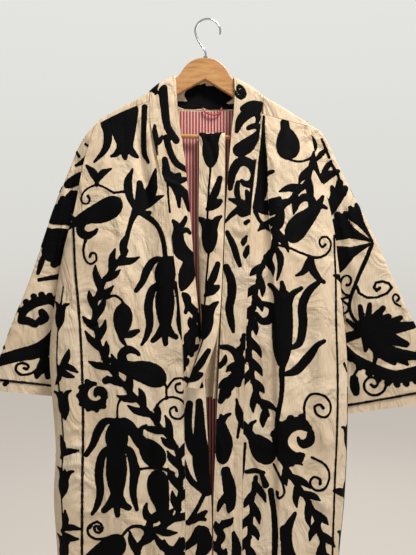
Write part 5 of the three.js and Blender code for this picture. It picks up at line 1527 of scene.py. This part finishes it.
# %% Rows of stitches
def on_panel(name, line):
    """Points and normals on a panel under a line drawn on its flat cut."""
    points, out, flat = panels[name]
    found = []
    for x, z in rounded(line, 24)[:, :2]:
        i, j = np.unravel_index(np.argmin((flat[..., 0] - x) ** 2 + (flat[..., 1] - z) ** 2), flat.shape[:2])
        i, j = int(np.clip(i, 1, len(flat) - 2)), int(np.clip(j, 1, flat.shape[1] - 2))
        across, down = flat[i, j + 1] - flat[i, j - 1], flat[i + 1, j] - flat[i - 1, j]
        ways = np.column_stack([across, down])
        share = np.linalg.lstsq(ways, [x, z] - flat[i, j], rcond=None)[0].clip(-1, 1)
        point = points[i, j] + share[0] * (points[i, j + 1] - points[i, j - 1])
        found.append((point + share[1] * (points[i + 1, j] - points[i - 1, j]), out[i, j]))
    return [np.array(part) for part in zip(*found)]


def stitch_tree():
    tree = bpy.data.node_groups.new("Row of stitches", "GeometryNodeTree")
    tree.interface.new_socket("Geometry", in_out="INPUT", socket_type="NodeSocketGeometry")
    for label in ("Stitch length", "Stitch width", "Gap", "Thread radius"):
        tree.interface.new_socket(label, in_out="INPUT", socket_type="NodeSocketFloat")
    tree.interface.new_socket("Thread", in_out="INPUT", socket_type="NodeSocketMaterial")
    tree.interface.new_socket("Geometry", in_out="OUTPUT", socket_type="NodeSocketGeometry")
    given = add(tree, "NodeGroupInput").outputs
    pitch = add(tree, "ShaderNodeMath", {0: given["Stitch length"], 1: given["Gap"]},
        operation="ADD").outputs[0]
    line = add(tree, "GeometryNodeMeshToCurve", {"Mesh": given["Geometry"]}).outputs["Curve"]
    steps = add(tree, "GeometryNodeResampleCurve", {"Curve": line}, mode="LENGTH")
    tree.links.new(pitch, steps.inputs["Length"])
    facing = add(tree, "GeometryNodeInputNamedAttribute", {"Name": "out"}, data_type="FLOAT_VECTOR")
    upright = add(tree, "FunctionNodeAlignRotationToVector", {"Vector": facing.outputs["Attribute"]},
        axis="Z")
    along = add(tree, "FunctionNodeAlignRotationToVector", {
        "Rotation": upright.outputs[0], "Vector": add(tree, "GeometryNodeInputTangent").outputs[0],
    }, axis="X", pivot_axis="Z")
    loop = add(tree, "GeometryNodeCurvePrimitiveCircle", {"Resolution": 9, "Radius": 1.0}).outputs["Curve"]
    halves = [add(tree, "ShaderNodeMath", {0: given[label], 1: share}, operation="MULTIPLY").outputs[0]
              for label, share in (("Stitch length", 0.56), ("Stitch width", 0.5))]
    size = add(tree, "ShaderNodeCombineXYZ", {"X": halves[0], "Y": halves[1], "Z": 1.0}).outputs[0]
    oval = add(tree, "GeometryNodeTransform", {"Geometry": loop, "Scale": size}).outputs[0]
    strand = add(tree, "GeometryNodeCurvePrimitiveCircle",
        {"Resolution": 5, "Radius": given["Thread radius"]})
    link = add(tree, "GeometryNodeCurveToMesh", {"Curve": oval,
        "Profile Curve": strand.outputs["Curve"]}).outputs[0]
    uneven = add(tree, "FunctionNodeRandomValue", data_type="FLOAT_VECTOR")
    low, high = [socket for socket in uneven.inputs if socket.type == "VECTOR"][:2]
    low.default_value, high.default_value = (0.86, 0.8, 0.9), (1.1, 1.15, 1.1)
    uneven.inputs["Seed"].default_value = 7
    placed_links = add(tree, "GeometryNodeInstanceOnPoints", {
        "Points": steps.outputs[0], "Instance": link, "Rotation": along.outputs[0],
        "Scale": uneven.outputs[0],
    })
    real = add(tree, "GeometryNodeRealizeInstances", {"Geometry": placed_links.outputs[0]}).outputs[0]
    done = add(tree, "GeometryNodeSetMaterial", {"Geometry": real, "Material": given["Thread"]}).outputs[0]
    tree.links.new(done, add(tree, "NodeGroupOutput").inputs["Geometry"])
    return tree


STITCHES = stitch_tree()


def stitch_rows(name, rows, lift, thread, **sizes):
    """A piece of stitches along lines, each given as points and normals in millimetres."""
    line_mesh = bpy.data.meshes.new(name)
    points = np.concatenate([p + lift * n for p, n in rows]) * MM
    starts = np.cumsum([0] + [len(p) for p, _ in rows])
    edges = [(k, k + 1) for a, b in zip(starts[:-1], starts[1:]) for k in range(a, b - 1)]
    line_mesh.from_pydata(points.tolist(), edges, [])
    facing = line_mesh.attributes.new("out", "FLOAT_VECTOR", "POINT")
    facing.data.foreach_set("vector", np.concatenate([n for _, n in rows]).astype(np.float32).ravel())
    made = bpy.data.objects.new(name, line_mesh)
    bpy.context.scene.collection.objects.link(made)
    modifier = made.modifiers.new("stitches", "NODES")
    modifier.node_group = STITCHES
    values = {"Thread": thread, **{key.replace("_", " "): value for key, value in sizes.items()}}
    for item in STITCHES.interface.items_tree:
        if item.in_out == "INPUT" and item.name in values:
            modifier[item.identifier] = values[item.name]
    bpy.context.view_layer.update()
    view = bpy.context.evaluated_depsgraph_get()
    mesh = bpy.data.meshes.new_from_object(made.evaluated_get(view), depsgraph=view)
    made.modifiers.remove(modifier)
    made.data = mesh
    bpy.data.meshes.remove(line_mesh)
    mesh.polygons.foreach_set("use_smooth", np.ones(len(mesh.polygons), bool))
    print(name, len(mesh.polygons), "faces")
    return made


BORDERS = {
    "front_right": [[(-280, -430), (-274, -520), (-265, -620), (-259, -720), (-256, -840), (-257, -960),
                     (-257, -1100), (-256, -1250)]],
    "front_left": [[(264, -455), (266, -540), (266, -640), (268, -760), (266, -860), (261, -960),
        (258, -1060),
                    (256, -1160), (254, -1250)]],
    "sleeve_left": [[(287, -818), (340, -806), (400, -792), (440, -784), (496, -774)]],
    "sleeve_right": [[(-446, -756), (-400, -762), (-360, -768), (-315, -777), (-262, -786)]],
    "back": [[(256, -330), (262, -600), (258, -900), (250, -1250)], [(-276, -330), (-284, -600), (-280, -900),
                                                                     (-272, -1250)]],
}
for name, lines in BORDERS.items():
    PIECES[f"{name}_border"] = stitch_rows(
        f"{name}_border", [on_panel(name, line) for line in lines], 0.5, THREAD,
        Stitch_length=0.0056, Stitch_width=0.0034, Gap=-0.0012, Thread_radius=0.0012,
    )
SEWN_ROWS, SEWN_COLUMNS = slice(40, -4, 12), (2, -3)
for name in ("band_right", "band_left"):
    flat = panels[name][2]
    edges = [flat[SEWN_ROWS, column] for column in SEWN_COLUMNS]
    PIECES[f"{name}_sewing"] = stitch_rows(
        f"{name}_running_stitch", [on_panel(name, edge) for edge in edges], 0.15, SEWING,
        Stitch_length=0.0034, Stitch_width=0.0006, Gap=0.0026, Thread_radius=0.0003,
    )

# %% [markdown]
# ## Belt
# The belt is a double strip of the same cotton, 54 mm wide. It goes up behind the bar, over it and down
# in front, and both tails roll in on themselves. A row of small tulips runs along it.

# %% Belt
BELT_WIDTH, BELT_CLOTH, BAR_Z, TILT = 54, 2.4, -245.5, math.radians(1.5)
BELT_X, BELT_ROUND = 8.5, 7.2  # where it crosses the bar, and how far its middle is from the bar's
BELT_BACK = [  # x, y, z, twist and curl in degrees
    (9, -5, -792, 52, 230), (9, -3, -735, 44, 190), (8, 0, -665, 34, 140), (6, 3, -560, 20, 70),
    (6, 6, -420, 6, 16), (8.5, 7.2, -310, 0, 0), (8.5, 7.2, -262, 0, 0),
]
BELT_FRONT = [
    (8.5, -7.2, -262, 0, 0), (8.5, -7.8, -310, 0, 0), (7.5, -9, -400, 4, 14), (6, -13, -483, 14, 60),
    (4, -24, -580, 24, 110), (0, -38, -655, 36, 160), (-14, -46, -710, 44, 200), (-32, -49, -764, 48, 235),
]


def belt_grid(across_cells=28, pitch=2.2):
    turns = np.radians(np.arange(15, 180, 15))
    middle_z = BAR_Z - TILT * (BELT_X - BAR_Z * TILT)
    straight = 0 * turns
    over = np.stack([
        straight + BELT_X, BELT_ROUND * np.cos(turns), middle_z + BELT_ROUND * np.sin(turns),
        straight, straight,
    ], 1)
    back, front = rounded(BELT_BACK, 24), rounded(BELT_FRONT, 24)
    line = np.concatenate([back, over, front])
    reach = reach_along(line[:, :3])
    at = np.linspace(0, reach[-1], cells_for(reach[-1]) + 1)
    line = np.stack([np.interp(at, reach, column) for column in line.T], axis=1)
    middle, twist, curl = line[:, :3], np.radians(line[:, 3]), np.maximum(np.radians(line[:, 4]), 1e-3)
    ahead = unit(np.gradient(middle, axis=0))
    face = unit(np.cross([1.0, 0, 0], ahead))
    turn = np.where(at > reach[len(back) + 5], -1, 1) * np.sin(twist)
    width = unit(np.cos(twist)[:, None] * [1.0, 0, 0] + face * turn[:, None])
    face = np.cross(ahead, width)
    u = np.linspace(-0.5, 0.5, across_cells + 1)
    radius = (BELT_WIDTH / curl)[:, None]
    angle = curl[:, None] * u
    lift = radius * (np.cos(angle) - np.cos(curl / 2)[:, None] * 0.5 - 0.5) + BELT_CLOTH / 2
    sideways = width[:, None] * (radius * np.sin(angle))[..., None]
    points = middle[:, None] + sideways + face[:, None] * lift[..., None]
    flat = np.stack(np.broadcast_arrays(BELT_WIDTH * u[None, :], at[:, None]), axis=-1)
    return points, flat, np.broadcast_to(face[:, None], points.shape), reach[len(back)]


belt_points, belt_flat, belt_face, over_bar = belt_grid()
belt_out = outward(belt_points)
belt_out *= np.sign(np.sum(belt_out * belt_face))
BELT_CREASES = [
    ([(-20, 560), (0, 600), (8, 660)], 5, -1.2), ([(10, 700), (4, 760), (-6, 820)], 5, 1.2),
    ([(-18, 640), (-10, 720), (-14, 790)], 4, -1.1), ([(16, 850), (2, 880), (-12, 900)], 5, -1.2),
]
belt_points = belt_points + belt_out * crease_height(belt_flat, BELT_CREASES)[..., None]
BELT_TULIP = [
    [(0, 0, 3), (0, 8, 9), (0, 24, 13.5), (0, 46, 13)], [(-6, 44, 8), (-12, 58, 6), (-20, 65, 3)],
    [(6, 44, 8), (13, 57, 6), (27, 64, 3)], [(0, 2, 2.2), (4, -60, 2.2), (5, -104, 2.4)],
    [(4, -70, 3), (-8, -50, 7), (-17, -22, 5)], [(5, -78, 4), (-8, -70, 8), (-18, -64, 5)],
]
BELT_WORK = []
for v in (70, 242, 414):
    BELT_WORK += placed(BELT_TULIP, 6, v + 40)
for v in (632, 812, 992):
    BELT_WORK += placed(BELT_TULIP, -3, v, 1.15, 180)
print("the belt is", round(belt_flat[-1, 0, 1]), "mm long and goes over the bar at", round(over_bar), "mm")
PIECES["belt"] = shell(
    "belt_cotton", *(grid[EVERY_SECOND] for grid in (belt_points, belt_out, belt_flat)), BELT_CLOTH, COTTON,
)
PIECES["belt_work"] = inlay(
    "belt_needlework", belt_points, belt_out, belt_flat, stitched(belt_flat, BELT_WORK), THREAD,
)

# %% [markdown]
# ## Lining and loop
# The striped lining hangs inside the back and stops 18 mm above the hem. The loop that the coat is hung by
# on a peg is a length of cord, sewn in under the band at both ends.

# %% Lining and loop
LOOP_R = 1.75
PLY_RISE, PLY_SUNK, PLY_TWIST = 0.14, 0.1, 0.9  # shares of the radius, and radians a millimetre
lining_out = -outward(lining_points) * np.sign(outward(lining_points)[65, 40, 1])
LINING_CREASES = [
    ([(-60, -330), (-52, -460), (-60, -600)], 12, 1.4), ([(30, -400), (24, -560), (34, -720)], 14, 1.6),
    ([(70, -300), (60, -380), (20, -440)], 9, 1.2), ([(-20, -760), (-28, -940), (-18, -1160)], 14, 1.4),
    ([(60, -800), (66, -1000), (58, -1200)], 12, 1.8), ([(-90, -260), (-40, -300), (10, -300)], 8, 1),
]
lining_points = lining_points + lining_out * crease_height(lining_flat, LINING_CREASES)[..., None]
PIECES["lining"] = shell("striped_lining", lining_points, lining_out, lining_flat, LINING, LINING_CLOTH)


def tube(name, line, radius, material, sides, lobes):
    """A cord along a line; lobes is how many plies it is laid up from."""
    line = np.array(line, float)
    ahead = unit(np.gradient(line, axis=0))
    side = unit(np.cross(ahead, [0.0, 1.0, 0.0]))
    up = np.cross(side, ahead)
    at = reach_along(line)
    a = np.linspace(0, 2 * math.pi, sides + 1)[None, :-1]
    plied = PLY_RISE * np.cos(lobes * a - at[:, None] * PLY_TWIST) - PLY_SUNK
    reach = radius * (1 + plied)
    sideways = side[:, None] * (reach * np.cos(a))[..., None]
    upwards = up[:, None] * (reach * np.sin(a))[..., None]
    points = line[:, None] + sideways + upwards
    rows = len(line)
    ids = np.arange(rows * sides).reshape(rows, sides)
    ids = np.concatenate([ids, ids[:, :1]], axis=1)
    quads = np.stack([ids[:-1, :-1], ids[1:, :-1], ids[1:, 1:], ids[:-1, 1:]], axis=-1).reshape(-1,
        4).tolist()
    faces = quads + [ids[0, :-1].tolist(), ids[-1, -2::-1].tolist()]
    flat = np.stack(np.broadcast_arrays(radius * a, at[:, None]), axis=-1)
    return mesh_object(name, points.reshape(-1, 3), faces, flat.reshape(-1, 2), material)


loop_line = rounded([
    (-11, 8, -183), (-9, 6.6, -189), (0, 6.2, -195), (13, 6.2, -198), (24, 6.3, -193), (29, 7.4, -183),
], 10)
PIECES["loop"] = tube("hanging_loop", loop_line, LOOP_R, CORD_COTTON, sides=18, lobes=3)
print("the loop's cord is", round(float(reach_along(loop_line)[-1])), "mm long")

# %% [markdown]
# ## Hanger
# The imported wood, bar, hook and collar are already the right shapes, so they stay and only take their
# finishes.

# %% Hanger
for node, material in (
    ("hanger_yoke", BEECH), ("hanger_bar", BEECH), ("hanger_hook", CHROME), ("hook_collar", CHROME),
):
    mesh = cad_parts[node].data
    mesh.materials.clear()
    mesh.materials.append(material)
    print(node, "is", material.name)

# %% [markdown]
# ## Floor, light and surroundings
# The coat hangs over a pale floor that glows a little, so that the backdrop is even. One soft light
# stands high in front, a little to the wearer's left, a weaker one fills from the same side, a third
# lights the back, and a pale surround lights the rest. The backdrop that the camera sees is painted a
# little darker towards the floor, a painted shade.

# %% Stage and light
FLOOR_HALF, FLOOR_Z = 6, -1.75
floor_mesh = bpy.data.meshes.new("floor")
corners = [(x * FLOOR_HALF, y * FLOOR_HALF, FLOOR_Z) for x, y in ((-1, -1), (1, -1), (1, 1), (-1, 1))]
floor_mesh.from_pydata(corners, [], [(0, 1, 2, 3)])
floor = bpy.data.objects.new("floor", floor_mesh)
bpy.context.scene.collection.objects.link(floor)
FLOOR, tree, shader = finish_named("Pale floor")
shader.inputs["Base Color"].default_value = linear("96928C")
shader.inputs["Emission Color"].default_value = linear("FFF5EA")
sockets(shader, Roughness=0.9, Emission_Strength=0.42)
floor_mesh.materials.append(FLOOR)

world = bpy.data.worlds.new("surround")
bpy.context.scene.world = world
world.use_nodes = True
tree = world.node_tree
rays = add(tree, "ShaderNodeLightPath").outputs["Is Camera Ray"]
height = add(tree, "ShaderNodeSeparateXYZ", {0: add(tree,
    "ShaderNodeTexCoord").outputs["Generated"]}).outputs["Z"]
# The camera sees this backdrop, with painted shade: darker towards the floor and lighter above. The coat and
# floor are lit by the even, dimmer surround instead.
wall = ramp(tree, add(tree, "ShaderNodeMath", {0: height, 1: 1.0, 2: 0.5},
    operation="MULTIPLY_ADD").outputs[0],
            [(0.3, "CCC4BB"), (0.55, "DBDAD4"), (0.9, "E4E5E1")])
seen, light = tree.nodes["Background"], add(tree, "ShaderNodeBackground", {"Strength": 0.38})
tree.links.new(wall, seen.inputs["Color"])
light.inputs["Color"].default_value = linear("F1EEE8")
both = add(tree, "ShaderNodeMixShader", {0: rays, 1: light.outputs[0], 2: seen.outputs[0]})
tree.links.new(both.outputs[0], tree.nodes["World Output"].inputs["Surface"])


def soft_light(name, place, aim, size, power, code):
    lamp = bpy.data.lights.new(name, "AREA")
    lamp.shape, lamp.size, lamp.energy, lamp.color = "DISK", size, power, linear(code)[:3]
    holder = bpy.data.objects.new(name, lamp)
    holder.location = place
    holder.rotation_euler = (Vector(aim) - Vector(place)).to_track_quat("-Z", "Y").to_euler()
    bpy.context.scene.collection.objects.link(holder)
    print(name, power, "W")


soft_light("high in front", (0.7, -0.8, 1.3), (0, 0, -0.6), 0.6, 50, "FFF8EE")
soft_light("right fill", (2.2, -1.8, -0.2), (0, 0, -0.6), 1.8, 8, "F2F4FF")
soft_light("behind", (0.8, 2.4, 0.6), (0, 0, -0.7), 1.6, 26, "FFFAF2")
bpy.context.scene.view_settings.view_transform = "Standard"

# %% [markdown]
# ## What each piece stands for
# All of the coat hangs as one body. The size that each cloth was cut to is listed and printed.

# %% Frame
# Width and length of each cut in metres as it lay before sewing, and its area in square metres. They were
# measured on these shells, all but the widths of the sleeves, which are all round at the cuff, and the
# areas of the sleeves, which are rounded up a little.
SHEETS = {
    "front_right": (0.296, 1.093, 0.272), "front_left": (0.243, 1.061, 0.221), "back": (0.658, 1.156, 0.657),
    "sleeve_right": (0.42, 0.61, 0.115), "sleeve_left": (0.46, 0.65, 0.155),
    "band_right": (0.082, 1.265, 0.064),
    "band_left": (0.088, 1.251, 0.070), "lining": (0.583, 1.075, 0.558), "belt": (0.054, 1.10, 0.0594),
}
for name, piece in PIECES.items():
    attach(piece, "root")
    node = "hang_loop" if name == "loop" else name
    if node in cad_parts:
        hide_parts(node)
for name, cut in SHEETS.items():
    print(name, "is cut", cut, "m")
